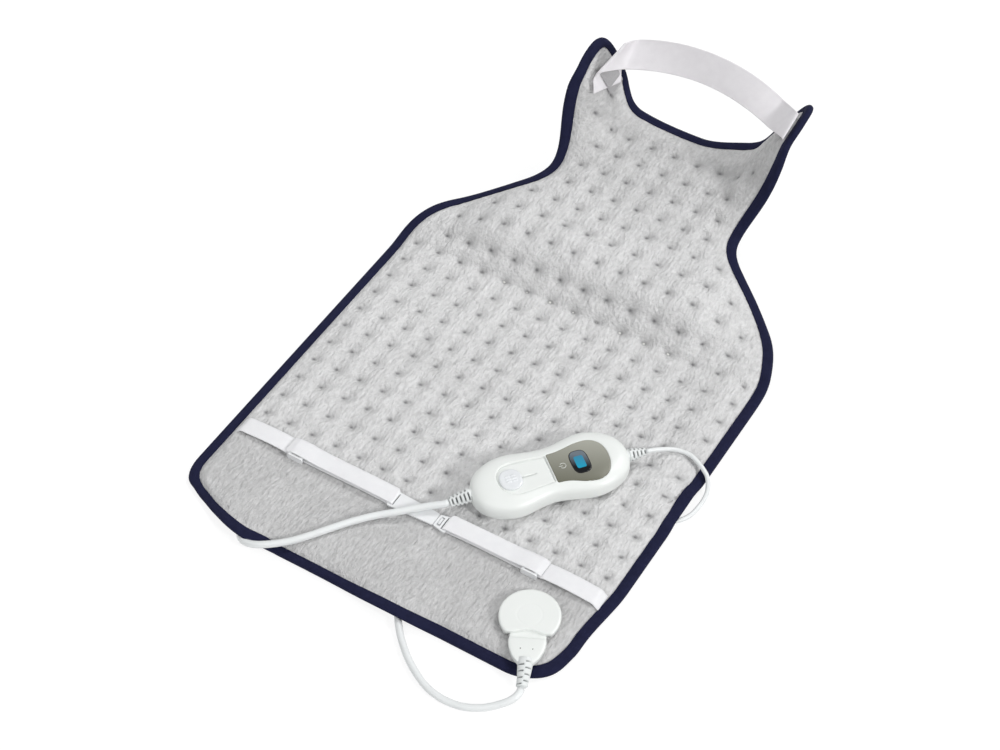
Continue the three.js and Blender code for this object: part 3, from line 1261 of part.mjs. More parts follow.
// A tie round the coil's far side
const tieThickness = 0.8;
const tieWidth = 8;
const tieLow = coilLow - mainsLeadDiameter / 2 - clearance;
const tieHigh = coilLow + (coilLayers - 1) * coilPitch + mainsLeadDiameter / 2 + clearance;
const tieNear = coilY + coilOuter - turnsPerLayer * coilPitch - mainsLeadDiameter / 2 - clearance;
const tieFar = coilY + coilOuter + mainsLeadDiameter / 2 + clearance;
piece('coil_tie', cut(
  block(coilX - tieWidth / 2, coilX + tieWidth / 2, tieNear - tieThickness, tieFar + tieThickness, tieLow - tieThickness, tieHigh + tieThickness),
  block(coilX - tieWidth, coilX + tieWidth, tieNear, tieFar, tieLow, tieHigh),
), darkPlastic);

// The tail of the lead and its two-pin plug
const leadTail = [
  [22.6, 498.3, 17.5], [14, 498.4, 16.8], [4, 499.2, 13.6], [-7, 500.8, 9.8], [-18, 502.6, 7.9],
  [-28, 503.6, 7.3], [-36, 504, 7.2],
];
lengths.mains_lead_tail = cord('mains_lead_tail', leadTail, mainsLeadDiameter, 8);
const mainsPlug = new THREE.Group();
mainsPlug.position.set(leadTail.at(-1)[0] - clearance, leadTail.at(-1)[1], leadTail.at(-1)[2]);
mainsPlug.rotation.z = Math.PI;
heatingPad.add(mainsPlug);
const plugBodyHalfHeight = 7;
const plugBodyHalf = 13;
const plugBodyLength = 48;
const mainsSections = [
  [0, 3.4, 3.4], [9, 4.4, 4.2], [14, 7, 5.4], [22, 11, 6.6], [32, plugBodyHalf, plugBodyHalfHeight],
  [44, plugBodyHalf - 0.4, plugBodyHalfHeight - 0.2],
  [plugBodyLength, plugBodyHalf - 2, plugBodyHalfHeight - 1],
];
piece('mains_plug', skin(mainsSections.map(([x, y, z]) => Array.from({ length: 14 }, (_, k) => {
  const turn = (2 * Math.PI * (k + 0.5)) / 14;
  const [c, d] = [Math.cos(turn), Math.sin(turn)];
  return [x, Math.sign(c) * y * Math.abs(c) ** 0.7, Math.sign(d) * z * Math.abs(d) ** 0.7];
}))), whitePlastic, mainsPlug);
const mainsPinRadius = 2;
const mainsPinPitch = 19;
const mainsPinLength = 19;
[-1, 1].forEach((side, k) => piece(
  `mains_plug_pin_${k + 1}`,
  rodX(
    mainsPinRadius, plugBodyLength + clearance, plugBodyLength + mainsPinLength,
    (side * mainsPinPitch) / 2, 0, 12,
  ),
  steel, mainsPlug,
));
console.log('cord lengths in mm:', Object.entries(lengths).map(([k, v]) => `${k} ${v.toFixed(0)}`).join(', '));

// The origin is under the middle of the object without its free cords, at its lowest level
const freeCords = [
  'control_cable', 'control_cable_end', 'mains_lead', 'mains_lead_coil', 'coil_tie',
  'mains_lead_tail', 'mains_plug', 'mains_plug_pin_1', 'mains_plug_pin_2',
];
heatingPad.updateMatrixWorld(true);
const extent = new THREE.Box3();
heatingPad.traverse((node) => {
  if (node.isMesh && !freeCords.includes(node.name)) extent.expandByObject(node, true);
});
const middle = extent.getCenter(new THREE.Vector3());
heatingPad.position.set(-middle.x, -middle.y, -extent.min.z);
console.log('pattern origin in the frame:', heatingPad.position.toArray().map((n) => n.toFixed(3)).join(', '));
const object = new THREE.Group();
object.add(heatingPad);

export default object;
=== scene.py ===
# Heating pad for the neck, shoulders and back, with a corded heat controller.
import math

import bmesh
import bpy
import numpy as np
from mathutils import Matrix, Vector
from mathutils.geometry import delaunay_2d_cdt


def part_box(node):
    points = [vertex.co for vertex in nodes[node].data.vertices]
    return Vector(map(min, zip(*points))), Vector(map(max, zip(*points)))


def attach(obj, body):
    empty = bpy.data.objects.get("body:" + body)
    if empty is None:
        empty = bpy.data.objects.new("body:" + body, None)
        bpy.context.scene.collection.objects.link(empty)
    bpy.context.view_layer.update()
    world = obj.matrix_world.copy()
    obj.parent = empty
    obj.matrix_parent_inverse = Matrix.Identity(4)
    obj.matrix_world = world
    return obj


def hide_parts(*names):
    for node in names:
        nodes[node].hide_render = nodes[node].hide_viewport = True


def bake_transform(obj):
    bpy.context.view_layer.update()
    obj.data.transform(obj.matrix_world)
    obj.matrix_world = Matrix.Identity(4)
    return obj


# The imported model. The pad's pattern is drawn in millimetres from the middle of its lower hem,
# and the sliders and the waist strap say where that point lies in the frame.
mm = 0.001
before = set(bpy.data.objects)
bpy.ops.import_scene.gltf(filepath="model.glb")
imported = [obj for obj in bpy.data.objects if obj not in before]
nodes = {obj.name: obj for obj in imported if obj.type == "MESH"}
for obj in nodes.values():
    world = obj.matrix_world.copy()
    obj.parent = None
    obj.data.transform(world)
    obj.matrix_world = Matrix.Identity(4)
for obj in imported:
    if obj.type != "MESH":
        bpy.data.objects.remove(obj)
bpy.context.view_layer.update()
waist_strap_along = 100
slider_left_box, slider_right_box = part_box("slider_left"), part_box("slider_right")
waist_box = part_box("waist_strap_left")
pattern_origin = np.array([
    (slider_left_box[0].x + slider_right_box[1].x) / 2,
    (waist_box[0].y + waist_box[1].y) / 2 - waist_strap_along * mm,
    0,
])


def in_frame(points):
    """Points of the pattern, in millimetres, as places in the frame in metres."""
    return np.asarray(points, float) * mm + pattern_origin


# The camera stands as the photograph's did, and looks down at the lower hem from the right.
camera_azimuth = math.radians(31.42)
camera_elevation = math.radians(48.58)
camera_place = (674.9, -857.6, 1518.5)
camera_lens = 76.7
towards_camera = Vector((
    math.sin(camera_azimuth) * math.cos(camera_elevation),
    -math.cos(camera_azimuth) * math.cos(camera_elevation),
    math.sin(camera_elevation),
))
camera = bpy.data.objects.new("camera", bpy.data.cameras.new("camera"))
camera.data.lens = camera_lens
camera.data.sensor_width = 36
camera.location = in_frame(camera_place)
camera.rotation_mode = "QUATERNION"
camera.rotation_quaternion = (-towards_camera).to_track_quat("-Z", "Y")
bpy.context.scene.collection.objects.link(camera)
bpy.context.scene.camera = camera
bpy.context.scene.view_settings.view_transform = "Standard"


# Node materials. A value wraps one socket, and sums of values are Math nodes.
class Value:
    """A socket of a material's nodes. Arithmetic adds Math nodes, and node() any other node."""

    def __init__(self, tree, socket=None):
        self.tree = tree
        self.socket = socket

    def node(self, kind, settings=(), sockets=(), output=0):
        """A new node: its settings first, then the values or links of its sockets."""
        made = self.tree.nodes.new("ShaderNode" + kind)
        for name, value in dict(settings).items():
            setattr(made, name, value)
        for name, value in dict(sockets).items():
            if isinstance(value, Value):
                self.tree.links.new(value.socket, made.inputs[name])
            else:
                made.inputs[name].default_value = value
        return Value(self.tree, made.outputs[output] if made.outputs else None)

    def math(self, operation, first, second=0.0):
        return self.node("Math", {"operation": operation}, {0: first, 1: second})

    def __add__(self, other):
        return self.math("ADD", self, other)

    def __sub__(self, other):
        return self.math("SUBTRACT", self, other)

    def __mul__(self, other):
        return self.math("MULTIPLY", self, other)

    def sine(self):
        return self.math("SINE", self)

    def high(self, other):
        return self.math("MAXIMUM", self, other)

    def between(self, dark, light):
        """A colour from dark at 0 to light at 1."""
        return self.node(
            "Mix",
            {"data_type": "RGBA"},
            {0: self, 6: (*dark, 1), 7: (*light, 1)},
            output=2,
        )

    def noise(self, scale, detail=2.0, stretch=(1, 1, 1)):
        """Noise of so many patches to a metre, on object coordinates."""
        place = self.node("TexCoord", output=3)
        if stretch != (1, 1, 1):
            place = self.node("Mapping", (), {"Vector": place, "Scale": stretch})
        return self.node("TexNoise", (), {"Vector": place, "Scale": scale, "Detail": detail})

    def attribute(self, name):
        """A value that the mesh keeps for each of its points."""
        return self.node("Attribute", {"attribute_name": name}, output=2)

    def darkened(self, mask, dark):
        """This colour, turned to a dark one where a mask is 1."""
        return self.node("Mix", {"data_type": "RGBA"}, {0: mask, 6: self, 7: (*dark, 1)}, 2)

    def bump(self, depth):
        """A normal from a height in metres."""
        return self.node("Bump", (), {"Height": self * depth, "Strength": 1.0, "Distance": 1.0})


def finish(name, **sockets):
    """A material whose shader sockets have the given values, which may be functions of a Value."""
    material = bpy.data.materials.new(name)
    material.use_nodes = True
    tree = material.node_tree
    shader = tree.nodes["Principled BSDF"]
    for key, value in sockets.items():
        socket = shader.inputs[key.replace("_", " ")]
        if callable(value):
            tree.links.new(value(Value(tree)).socket, socket)
        elif isinstance(value, tuple) and len(value) == 3 and key.endswith("Color"):
            socket.default_value = (*value, 1)
        else:
            socket.default_value = value
    return material


def wear(obj, material):
    """Gives a piece its material."""
    obj.data.materials.clear()
    obj.data.materials.append(material)
    return obj


# The stage: a white floor and white surroundings, soft suns from behind and from the right, and
# a very wide one from the front.
floor_half = 4.0
floor_mesh = bpy.data.meshes.new("floor")
floor_mesh.from_pydata(
    [(x * floor_half, y * floor_half, -0.3 * mm) for x, y in ((-1, -1), (1, -1), (1, 1), (-1, 1))],
    [],
    [(0, 1, 2, 3)],
)
floor = bpy.data.objects.new("floor", floor_mesh)
bpy.context.scene.collection.objects.link(floor)
floor_finish = bpy.data.materials.new("floor")
floor_finish.use_nodes = True
floor_finish.node_tree.nodes.clear()
start = Value(floor_finish.node_tree)


def seen_directly(value):
    """1 for rays that come from the camera, a mirror or a clear body, else 0."""
    return value.node("LightPath").high(value.node("LightPath", output=3)).high(
        value.node("LightPath", output=6)
    )


floor_plain = start.node("BsdfDiffuse", (), {"Color": (0.8, 0.8, 0.8, 1)})
floor_pale = start.node("BsdfDiffuse", (), {"Color": (0.22, 0.22, 0.22, 1)})
floor_glow = start.node("Emission", (), {"Color": (1, 1, 1, 1), "Strength": 0.84})
floor_bright = start.node("AddShader", (), {0: floor_pale, 1: floor_glow})
floor_mixed = start.node("MixShader", (), {0: seen_directly(start), 1: floor_plain, 2: floor_bright})
start.node("OutputMaterial", (), {"Surface": floor_mixed})
floor_mesh.materials.append(floor_finish)

world = bpy.data.worlds.new("world")
bpy.context.scene.world = world
world.use_nodes = True
world.node_tree.nodes.clear()
sky = Value(world.node_tree)
sky_plain = sky.node("Background", (), {"Color": (0.98, 0.99, 1, 1), "Strength": 0.4})
sky_white = sky.node("Background", (), {"Color": (1, 1, 1, 1), "Strength": 1.0})
sky.node("OutputWorld", (), {
    "Surface": sky.node("MixShader", (), {0: seen_directly(sky), 1: sky_plain, 2: sky_white}),
})


def sun(name, azimuth, elevation, strength, spread):
    """A soft sun from a compass direction, with 0 towards +Y and 90 towards +X."""
    lamp = bpy.data.objects.new(name, bpy.data.lights.new(name, "SUN"))
    lamp.data.energy = strength
    lamp.data.angle = math.radians(spread)
    a, e = math.radians(azimuth), math.radians(elevation)
    away = Vector((math.sin(a) * math.cos(e), math.cos(a) * math.cos(e), math.sin(e)))
    lamp.rotation_mode = "QUATERNION"
    lamp.rotation_quaternion = away.to_track_quat("Z", "Y")
    bpy.context.scene.collection.objects.link(lamp)


sun("back_light", 12, 52, 0.95, 14)
sun("side_light", 95, 32, 1.35, 10)
sun("front_light", 192, 44, 0.72, 50)


# Cords: white sheathed cable from the controller to the connector, and a thinner mains lead.
# Both lie over the pad's edge and come back under it, where their solids run.
def unit(vectors):
    """Vectors scaled to a length of 1."""
    return vectors / np.linalg.norm(vectors, axis=-1)[..., None]


def run_along(points):
    """How far along a line each of its points is."""
    return np.concatenate([[0], np.cumsum(np.linalg.norm(np.diff(points, axis=0), axis=1))])


def smooth_route(points, step):
    """A centripetal Catmull-Rom curve through points, at even steps of about the given length."""
    p = np.asarray(points, float)
    p = np.vstack([2 * p[0] - p[1], p, 2 * p[-1] - p[-2]])
    knots = np.concatenate([[0], np.cumsum(np.linalg.norm(np.diff(p, axis=0), axis=1) ** 0.5)])
    spans = []
    for k in range(1, len(p) - 2):
        t = np.linspace(knots[k], knots[k + 1], 24, endpoint=k == len(p) - 3)[:, None]
        k0, k1, k2, k3 = knots[k - 1:k + 3]
        a1 = ((k1 - t) * p[k - 1] + (t - k0) * p[k]) / (k1 - k0)
        a2 = ((k2 - t) * p[k] + (t - k1) * p[k + 1]) / (k2 - k1)
        a3 = ((k3 - t) * p[k + 1] + (t - k2) * p[k + 2]) / (k3 - k2)
        b1 = ((k2 - t) * a1 + (t - k0) * a2) / (k2 - k0)
        b2 = ((k3 - t) * a2 + (t - k1) * a3) / (k3 - k1)
        spans.append(((k2 - t) * b1 + (t - k1) * b2) / (k2 - k1))
    dense = np.vstack(spans)
    run = run_along(dense)
    count = max(int(round(run[-1] / step)), 2)
    even = np.linspace(0, run[-1], count + 1)
    return np.stack([np.interp(even, run, dense[:, n]) for n in range(3)], axis=1)


def mesh_piece(name, points, faces, corner_uv=None):
    """An object from points of the pattern and faces, smooth, with its faces turned outwards."""
    mesh = bpy.data.meshes.new(name)
    mesh.from_pydata(in_frame(points).tolist(), [], faces)
    if corner_uv is not None:
        layer = mesh.uv_layers.new(name="UVMap")
        layer.data.foreach_set("uv", np.asarray(corner_uv, np.float32).ravel())
    body = bmesh.new()
    body.from_mesh(mesh)
    bmesh.ops.recalc_face_normals(body, faces=body.faces)
    body.to_mesh(mesh)
    body.free()
    mesh.polygons.foreach_set("use_smooth", np.ones(len(mesh.polygons), bool))
    obj = bpy.data.objects.new(name, mesh)
    bpy.context.scene.collection.objects.link(obj)
    return obj


def keep_values(obj, name, values):
    """Keeps a value for each of a piece's first points, and 0 for the rest."""
    kept = np.zeros(len(obj.data.vertices), np.float32)
    kept[:len(values)] = values
    obj.data.attributes.new(name, "FLOAT", "POINT").data.foreach_set("value", kept)


def grid_piece(name, grid, wrap_rows=False, wrap_columns=False, capped=False):
    """A surface of rows and columns of points. Its UV map has millimetres along and across it."""
    rows, columns, _ = grid.shape
    r, c = np.meshgrid(
        np.arange(rows if wrap_rows else rows - 1),
        np.arange(columns if wrap_columns else columns - 1),
        indexing="ij",
    )
    corner_rows = np.stack([r, r, r + 1, r + 1], axis=-1).reshape(-1, 4)
    corner_columns = np.stack([c, c + 1, c + 1, c], axis=-1).reshape(-1, 4)
    faces = ((corner_rows % rows) * columns + corner_columns % columns).tolist()
    along, across = (
        run_along(np.vstack([line, line[:1]])) for line in (grid.mean(axis=1), grid[rows // 2])
    )
    uv = np.stack([along[corner_rows], across[corner_columns]], axis=-1).reshape(-1, 2)
    if capped:
        first, last = list(range(columns)), list(range((rows - 1) * columns, rows * columns))
        faces += [first, last]
        uv = np.vstack([uv, np.zeros((2 * columns, 2))])
    return mesh_piece(name, grid.reshape(-1, 3), faces, uv)


def tube_grid(route, radii, sides, up=(0, 0, 1)):
    """Circles of given radii square to a route; no circle turns against the one before."""
    along = unit(np.gradient(route, axis=0))
    aside = np.cross(along[0], up)
    frames = []
    for direction in along:
        aside = unit(aside - direction * (aside @ direction))
        frames.append(aside)
    aside = np.array(frames)
    over = np.cross(along, aside)
    turn = 2 * np.pi * np.arange(sides) / sides
    circle = np.cos(turn)[:, None] * aside[:, None, :] + np.sin(turn)[:, None] * over[:, None, :]
    return route[:, None, :] + circle * np.broadcast_to(radii, len(route))[:, None, None]


def squared(turn, power):
    """Cosine and sine of a turn, drawn towards a square as the power falls below 1."""
    c, s = np.cos(turn), np.sin(turn)
    return np.sign(c) * np.abs(c) ** power, np.sign(s) * np.abs(s) ** power


cable_diameter = 6.6
lead_diameter = 4.3
cable_over = [
    (26.2, 116.8, 21.3), (23.4, 113.4, 20.7), (16, 108.3, 19.6), (6, 100.3, 18.4), (-7, 88.3, 17.2),
    (-21, 76.3, 16.2), (-36, 59.3, 16.4), (-50, 40.3, 16.4), (-61, 25.3, 15.8), (-72, 12.8, 14.6),
    (-80, 5.6, 14), (-89, -0.6, 12.8), (-99, -4.6, 10.2), (-108.5, -5.4, 7.2), (-117, -2.4, 4.7),
    (-123, 4.5, 3.8),
]
cable_under = [
    (-125.5, 14, 3.65), (-124.5, 22, 3.65), (-119, 32, 3.65), (-108, 38, 3.65), (-90, 42.3, 3.65),
    (-50, 45.3, 3.65), (-20, 43.5, 3.65), (0, 38.8, 3.65), (20, 29.5, 3.65), (34, 17, 3.65),
]
cable_to_plug = [
    (45, 3.6, 3.65), (53, -6.7, 3.8), (64, -18.7, 3.8), (85, -35.7, 3.8), (112, -48.7, 3.8),
    (138, -49.7, 4), (158, -42.4, 5.8), (171, -32, 8.2), (177.6, -23.6, 10.2), (179.6, -17.6, 11.5),
    (179.4, -12.4, 12.2),
]
lead_over = [
    (148.4, 258.6, 23), (151.4, 262.3, 22.4), (156.4, 269.3, 19.6), (163, 276.8, 16.6), (172, 281.3, 15),
    (182, 282.3, 14.2), (191, 279.3, 13.2), (199, 275.3, 12), (205, 271.3, 10.4), (209.5, 265.3, 7.8),
    (212.3, 258.3, 5), (213, 250.3, 3), (212.5, 241.3, 2.3),
]
lead_under = [
    (211, 231, 2.2), (206, 221, 2.2), (197, 213, 2.2), (186, 211, 2.2), (177, 217, 2.2), (172, 230, 2.2),
    (170, 260, 2.2), (169.5, 300, 2.2), (168.5, 340, 2.2), (164, 375, 2.2), (151, 410, 2.2),
    (131, 445, 2.2), (105, 471, 2.3), (80, 488, 2.7), (57, 496.5, 3.15), (42, 498.3, 3.25),
    (33.3, 498.3, 3.25),
]
lead_tail = [
    (22.6, 498.3, 17.5), (14, 498.4, 16.8), (4, 499.2, 13.6), (-7, 500.8, 9.8), (-18, 502.6, 7.9),
    (-28, 503.6, 7.3), (-36, 504, 7.2),
]
coil_middle = (28, 530)
coil_pitch = 4.75
coil_outer = 31.7
coil_layers = 4
turns_per_layer = 2.25
coil_low = 3.25


def ease(t):
    """A smooth step from 0 to 1, flat at both ends."""
    t = np.clip(t, 0, 1)
    return t * t * (3 - 2 * t)


def ramp(value, start, run):
    """A smooth step from 0 at a start to 1 a run further on."""
    return ease((value - start) / run)


def coil_route(steps_per_turn):
    """The put-away lead: each layer spirals in or out, and steps up to the next at its end."""
    turns = np.arange(1, coil_layers * turns_per_layer * steps_per_turn) / steps_per_turn
    layer = np.minimum(np.floor(turns / turns_per_layer), coil_layers - 1)
    within = turns - layer * turns_per_layer
    inwards = np.where(layer % 2 == 0, within, turns_per_layer - within)
    radius = coil_outer - coil_pitch * inwards
    angle = -math.pi / 2 - 2 * math.pi * turns
    z = np.full(len(turns), float(coil_low))
    for k in range(1, coil_layers):
        z += coil_pitch * ease((turns - k * turns_per_layer + 0.25) / 0.5)
    return np.stack([
        coil_middle[0] + radius * np.cos(angle), coil_middle[1] + radius * np.sin(angle), z,
    ], axis=1)


sheath = finish(
    "cord_sheath",
    Base_Color=lambda v: v.noise(60).between((0.76, 0.78, 0.78), (0.82, 0.84, 0.84)),
    Roughness=lambda v: v.noise(350) * 0.12 + 0.3,
    Normal=lambda v: v.noise(900, 3).bump(0.00002),
    Coat_Weight=0.12,
    Coat_Roughness=0.25,
)


def cord_piece(name, route, diameter, **facts):
    """A round cord as a tube along its route."""
    obj = grid_piece(name, tube_grid(route, diameter / 2, 20), wrap_columns=True, capped=True)
    wear(obj, sheath)
    return obj


cable_route = smooth_route(cable_over + cable_under + cable_to_plug, 3)
cable = cord_piece(
    "control_cable_sheath", cable_route, cable_diameter, far_end="object", stiffness="medium", lay="loose"
)
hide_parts("control_cable", "control_cable_end")
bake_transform(cable)


# The mains plug on the lead's end: a moulded flat body that swells from the lead's sleeve, with
# two round pins. A wire tie holds the coil.
def loft_piece(name, sections, power, place, sides=48, step=1.0):
    """Rounded sections (place along, half width, half height, middle height) joined by a curve."""
    rows = smooth_route([s[:3] for s in sections], step)
    lift_of = np.interp(rows[:, 0], [s[0] for s in sections], [s[3] for s in sections])
    y, z = squared(2 * np.pi * np.arange(sides) / sides, power)
    grid = np.stack([
        np.broadcast_to(rows[:, 0, None], (len(rows), sides)),
        rows[:, 1, None] * y,
        rows[:, 2, None] * z + lift_of[:, None],
    ], axis=-1)
    return grid_piece(name, place(grid), wrap_columns=True, capped=True)


plug_place = np.array([lead_tail[-1][0] - 0.3, lead_tail[-1][1], lead_tail[-1][2]])
mains_plug = loft_piece(
    "mains_plug_body",
    [
        (0.0, 2.6, 2.6, 0), (0.4, 3.3, 3.3, 0), (9, 4.2, 4.1, 0), (14, 7, 5.4, 0), (22, 11, 6.6, 0),
        (32, 12.9, 6.95, 0), (42, 12.7, 6.8, 0), (46.6, 11.6, 6.2, 0), (47.8, 10.4, 5.2, 0),
        (48, 8.6, 3.8, 0), (48, 0.1, 0.1, 0),
    ],
    0.7,
    lambda grid: plug_place + grid * (-1, -1, 1),
    step=0.8,
)
plug_white = finish(
    "plug_white",
    Base_Color=lambda v: v.noise(45).between((0.74, 0.76, 0.75), (0.8, 0.82, 0.81)),
    Roughness=lambda v: v.noise(500) * 0.15 + 0.3,
    Normal=lambda v: v.noise(1600, 2).bump(0.000015),
)
wear(mains_plug, plug_white)
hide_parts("mains_plug")
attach(mains_plug, "pad")
pin_metal = finish(
    "pin_metal",
    Base_Color=(0.66, 0.64, 0.6),
    Metallic=1.0,
    Roughness=lambda v: v.noise(700, 3, stretch=(0.2, 3, 3)) * 0.25 + 0.15,
)
pin_radius, pin_pitch, pin_from, pin_to = 2, 19, 48.3, 67
mains_pins = []
for number, side in ((1, -1), (2, 1)):
    t = np.linspace(0, 1, 12)
    dome_x, dome_r = np.sin(t * np.pi / 2), np.maximum(np.cos(t * np.pi / 2), 0.03)
    along = np.concatenate([[pin_from, pin_to - 2.2], pin_to - pin_radius + pin_radius * dome_x])
    radii = np.concatenate([[pin_radius, pin_radius], pin_radius * dome_r])
    route = np.stack([along, np.full(len(along), side * pin_pitch / 2), np.zeros(len(along))], axis=1)
    pin = grid_piece(
        f"mains_pin_{number}", plug_place + tube_grid(route, radii, 24) * (-1, -1, 1),
        wrap_columns=True, capped=True,
    )
    wear(pin, pin_metal)
    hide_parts(f"mains_plug_pin_{number}")
    mains_pins.append(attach(pin, "pad"))


def band_grid(path, width_axis, half_width, thickness, rounding=0.3, columns=7):
    """A flat band of a given thickness along a path, as a closed profile for each of its points."""
    across = unit(np.broadcast_to(np.asarray(width_axis, float), path.shape))
    through = unit(np.cross(unit(np.gradient(path, axis=0)), across))
    s = np.linspace(-1, 1, columns) * (half_width - rounding)
    half = thickness / 2
    ends = [(half_width, half - rounding), (half_width, rounding - half)]
    profile = np.array(
        [(x, half) for x in s] + ends + [(x, -half) for x in s[::-1]] + [(-x, -z) for x, z in ends]
    )
    return (
        path[:, None, :]
        + profile[None, :, 0, None] * across[:, None, :]
        + profile[None, :, 1, None] * through[:, None, :]
    )


tie_reach, tie_rise, tie_middle = 8.2, 10.0, (28, 556.35, 10.38)
tie_half, tie_thickness, tie_rounding = 3.9, 0.7, 0.25
tie_y, tie_z = squared(np.linspace(0, 2 * np.pi, 65)[:-1], 0.35)
tie_path = tie_middle + np.stack([0 * tie_y, tie_reach * tie_y, tie_rise * tie_z], axis=1)
tie = grid_piece(
    "lead_tie", band_grid(tie_path, (1, 0, 0), tie_half, tie_thickness, tie_rounding),
    wrap_rows=True, wrap_columns=True,
)
tie_black = finish(
    "tie_black",
    Base_Color=lambda v: v.noise(90).between((0.012, 0.012, 0.013), (0.03, 0.03, 0.032)),
    Roughness=0.5,
    Normal=lambda v: v.noise(1200, 2).bump(0.00004),
)
wear(tie, tie_black)
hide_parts("coil_tie")
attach(tie, "pad")
lead_route = np.vstack([
    smooth_route(lead_over + lead_under, 2.5), coil_route(40), smooth_route(lead_tail, 2.5),
])
lead = cord_piece(
    "mains_lead_sheath", lead_route, lead_diameter, far_end="plug", stiffness="medium", lay="coiled",
    with_pieces=[mains_plug, tie, *mains_pins],
)
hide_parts("mains_lead", "mains_lead_coil", "mains_lead_tail")
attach(lead, "pad")


# The pad's form. Its pattern is flat, with u across and v up from the lower hem, and the neck
# part is raised, its shoulders droop and its two ears fold up. The cords under it lift it a
# little.
def route_distance(route, u, v):
    """How far points of the pattern are from a route drawn on it."""
    least = np.full(np.shape(u), 1e9)
    for (ax, ay), (bx, by) in zip(route[:-1], route[1:]):
        span = (bx - ax) ** 2 + (by - ay) ** 2
        t = np.clip(((u - ax) * (bx - ax) + (v - ay) * (by - ay)) / span, 0, 1)
        least = np.minimum(least, np.hypot(u - ax - t * (bx - ax), v - ay - t * (by - ay)))
    return least


cable_ridge = [p[:2] for p in [cable_over[-1], *cable_under, cable_to_plug[0]]]
lead_ridge = [p[:2] for p in [lead_over[-1], *lead_under[:11]]]
# Each ridge: its route, its height, half the width of its top, and how far its sides run out.
cord_ridges = ((cable_ridge, 8.2, 8.5, 38), (lead_ridge, 4.7, 6, 19))
cord_squeeze = 0.066


def cord_lift(u, v):
    """How much the cords under the pad lift it."""
    cable_lift, lead_lift = (
        height * (1 - ramp(route_distance(ridge, u, v), top, run))
        for ridge, height, top, run in cord_ridges
    )
    return np.maximum(cable_lift, lead_lift)


rise_start, rise_middle, rise_end = 360, 410, 450
rise_slope, collar_slope = math.radians(45.3), math.radians(7.2)
collar_start, collar_run = 449, 60
profile_step = 2


def slope_at(v):
    """Slope of the centre line: a bell where the pad rises, and a little lean of the collar."""
    reach = np.where(v < rise_middle, rise_middle - rise_start, rise_end - rise_middle)
    bell = np.maximum(1 - ((v - rise_middle) / reach) ** 2, 0) ** 2
    return rise_slope * bell + collar_slope * ramp(v, collar_start, collar_run)


profile_v = np.arange(rise_start, 664, profile_step)
profile_y = rise_start + np.concatenate([[0], np.cumsum(profile_step * np.cos(slope_at(profile_v)))])
profile_z = np.concatenate([[0], np.cumsum(profile_step * np.sin(slope_at(profile_v)))])
profile_v = np.append(profile_v, profile_v[-1] + profile_step)
shoulder_droop = 0.6
fold_line, fold_radius, fold_angle, ear_lean = 60, 26, math.radians(55), math.radians(8)
ear_back, ear_up = 9.2, 10.5
corner_shift, hem_shift, side_shift = 11.5, 0.55, 6


def underside(u, v):
    """The pad's underside over the pattern: centre line, drooping shoulders, and folded ears.

    The strap draws the right ear up and back. The hem is drawn in over the cable and at its left
    corner, and the right side below the waist strap.
    """
    y = np.where(v <= rise_start, v, np.interp(v, profile_v, profile_y))
    rise = np.where(v <= rise_start, 0, np.interp(v, profile_v, profile_z))
    across = np.abs(u)
    lift = cord_lift(u, v)
    droop = shoulder_droop * ramp(across, 94, 79) * (1 - ramp(v, 505, 40))
    fold = fold_angle * ramp(v, 529, 84)
    beyond = np.maximum(across - fold_line, 0)
    turned = np.minimum(beyond / fold_radius, fold)
    straight = beyond - fold_radius * turned
    x = np.minimum(across, fold_line) + fold_radius * np.sin(turned) + straight * np.cos(turned)
    raised = fold_radius * (1 - np.cos(turned)) + straight * np.sin(turned)
    drawn_up = (0.82 * ramp(u, 12, 60) + 0.18 * ramp(u, 100, 40)) * ramp(v, 565, 85)
    drawn_up = drawn_up + 0.2 * ramp(-u, 95, 40) * ramp(v, 590, 60)
    hem = 1 - ease(v / 45)
    cut_left = ramp(-u, 112, 60) * (1 - ramp(-u, 186, 24)) * hem
    lean_right = ramp(u, 120, 80) * ramp(v, 8, 35) * (1 - ramp(v, 58, 68))
    y = y - raised * math.sin(ear_lean) + ear_back * drawn_up
    y = y + corner_shift * cut_left - hem_shift * lift * hem
    z = rise * (1 - droop) + lift + raised * math.cos(ear_lean) + ear_up * drawn_up
    return np.stack([np.sign(u) * x - side_shift * lean_right, y, z], axis=-1)


def bend(u, v, height):
    """Points of the pattern at a height above the underside, square to it.

    Over a cord every layer is squeezed, to the height times 1 - cord_squeeze * lift.
    """
    u, v, height = np.broadcast_arrays(
        np.asarray(u, float), np.asarray(v, float), np.asarray(height, float)
    )
    height = height * (1 - cord_squeeze * cord_lift(u, v))
    small = 0.5
    across = underside(u + small, v) - underside(u - small, v)
    along = underside(u, v + small) - underside(u, v - small)
    return underside(u, v) + unit(np.cross(across, along)) * height[..., None]


pad_half, side_height, corner_radius = 205, 385, 52
pad_length, neckline_height = 660, 633
shoulder_foot, ear_outer, ear_inner = (106.5, 535), (155, 636), (135, pad_length)
outline_step = 4
shoulder_shares = ((0, 0.353), (0.254, 0.52), (0.579, 0.687), (0.843, 0.813), (1, 0.847), (1, 1))
ear_shares = ((0, 0.248), (0.361, 0.376), (0.691, 0.545), (0.897, 0.634), (1, 0.792), (1, 1))
tip_shares = ((0, 0.708), (0.3, 1), (1, 1))
neckline_shares = ((0.096, 0), (0.2, 0.037), (0.281, 0.259), (0.43, 0.778), (0.667, 1), (1, 1))


def cubic(a, b, c, d, steps):
    """A cubic curve through its four control points."""
    t = np.linspace(0, 1, steps)[:, None]
    return (1 - t) ** 3 * a + 3 * (1 - t) ** 2 * t * b + 3 * (1 - t) * t * t * c + t ** 3 * d


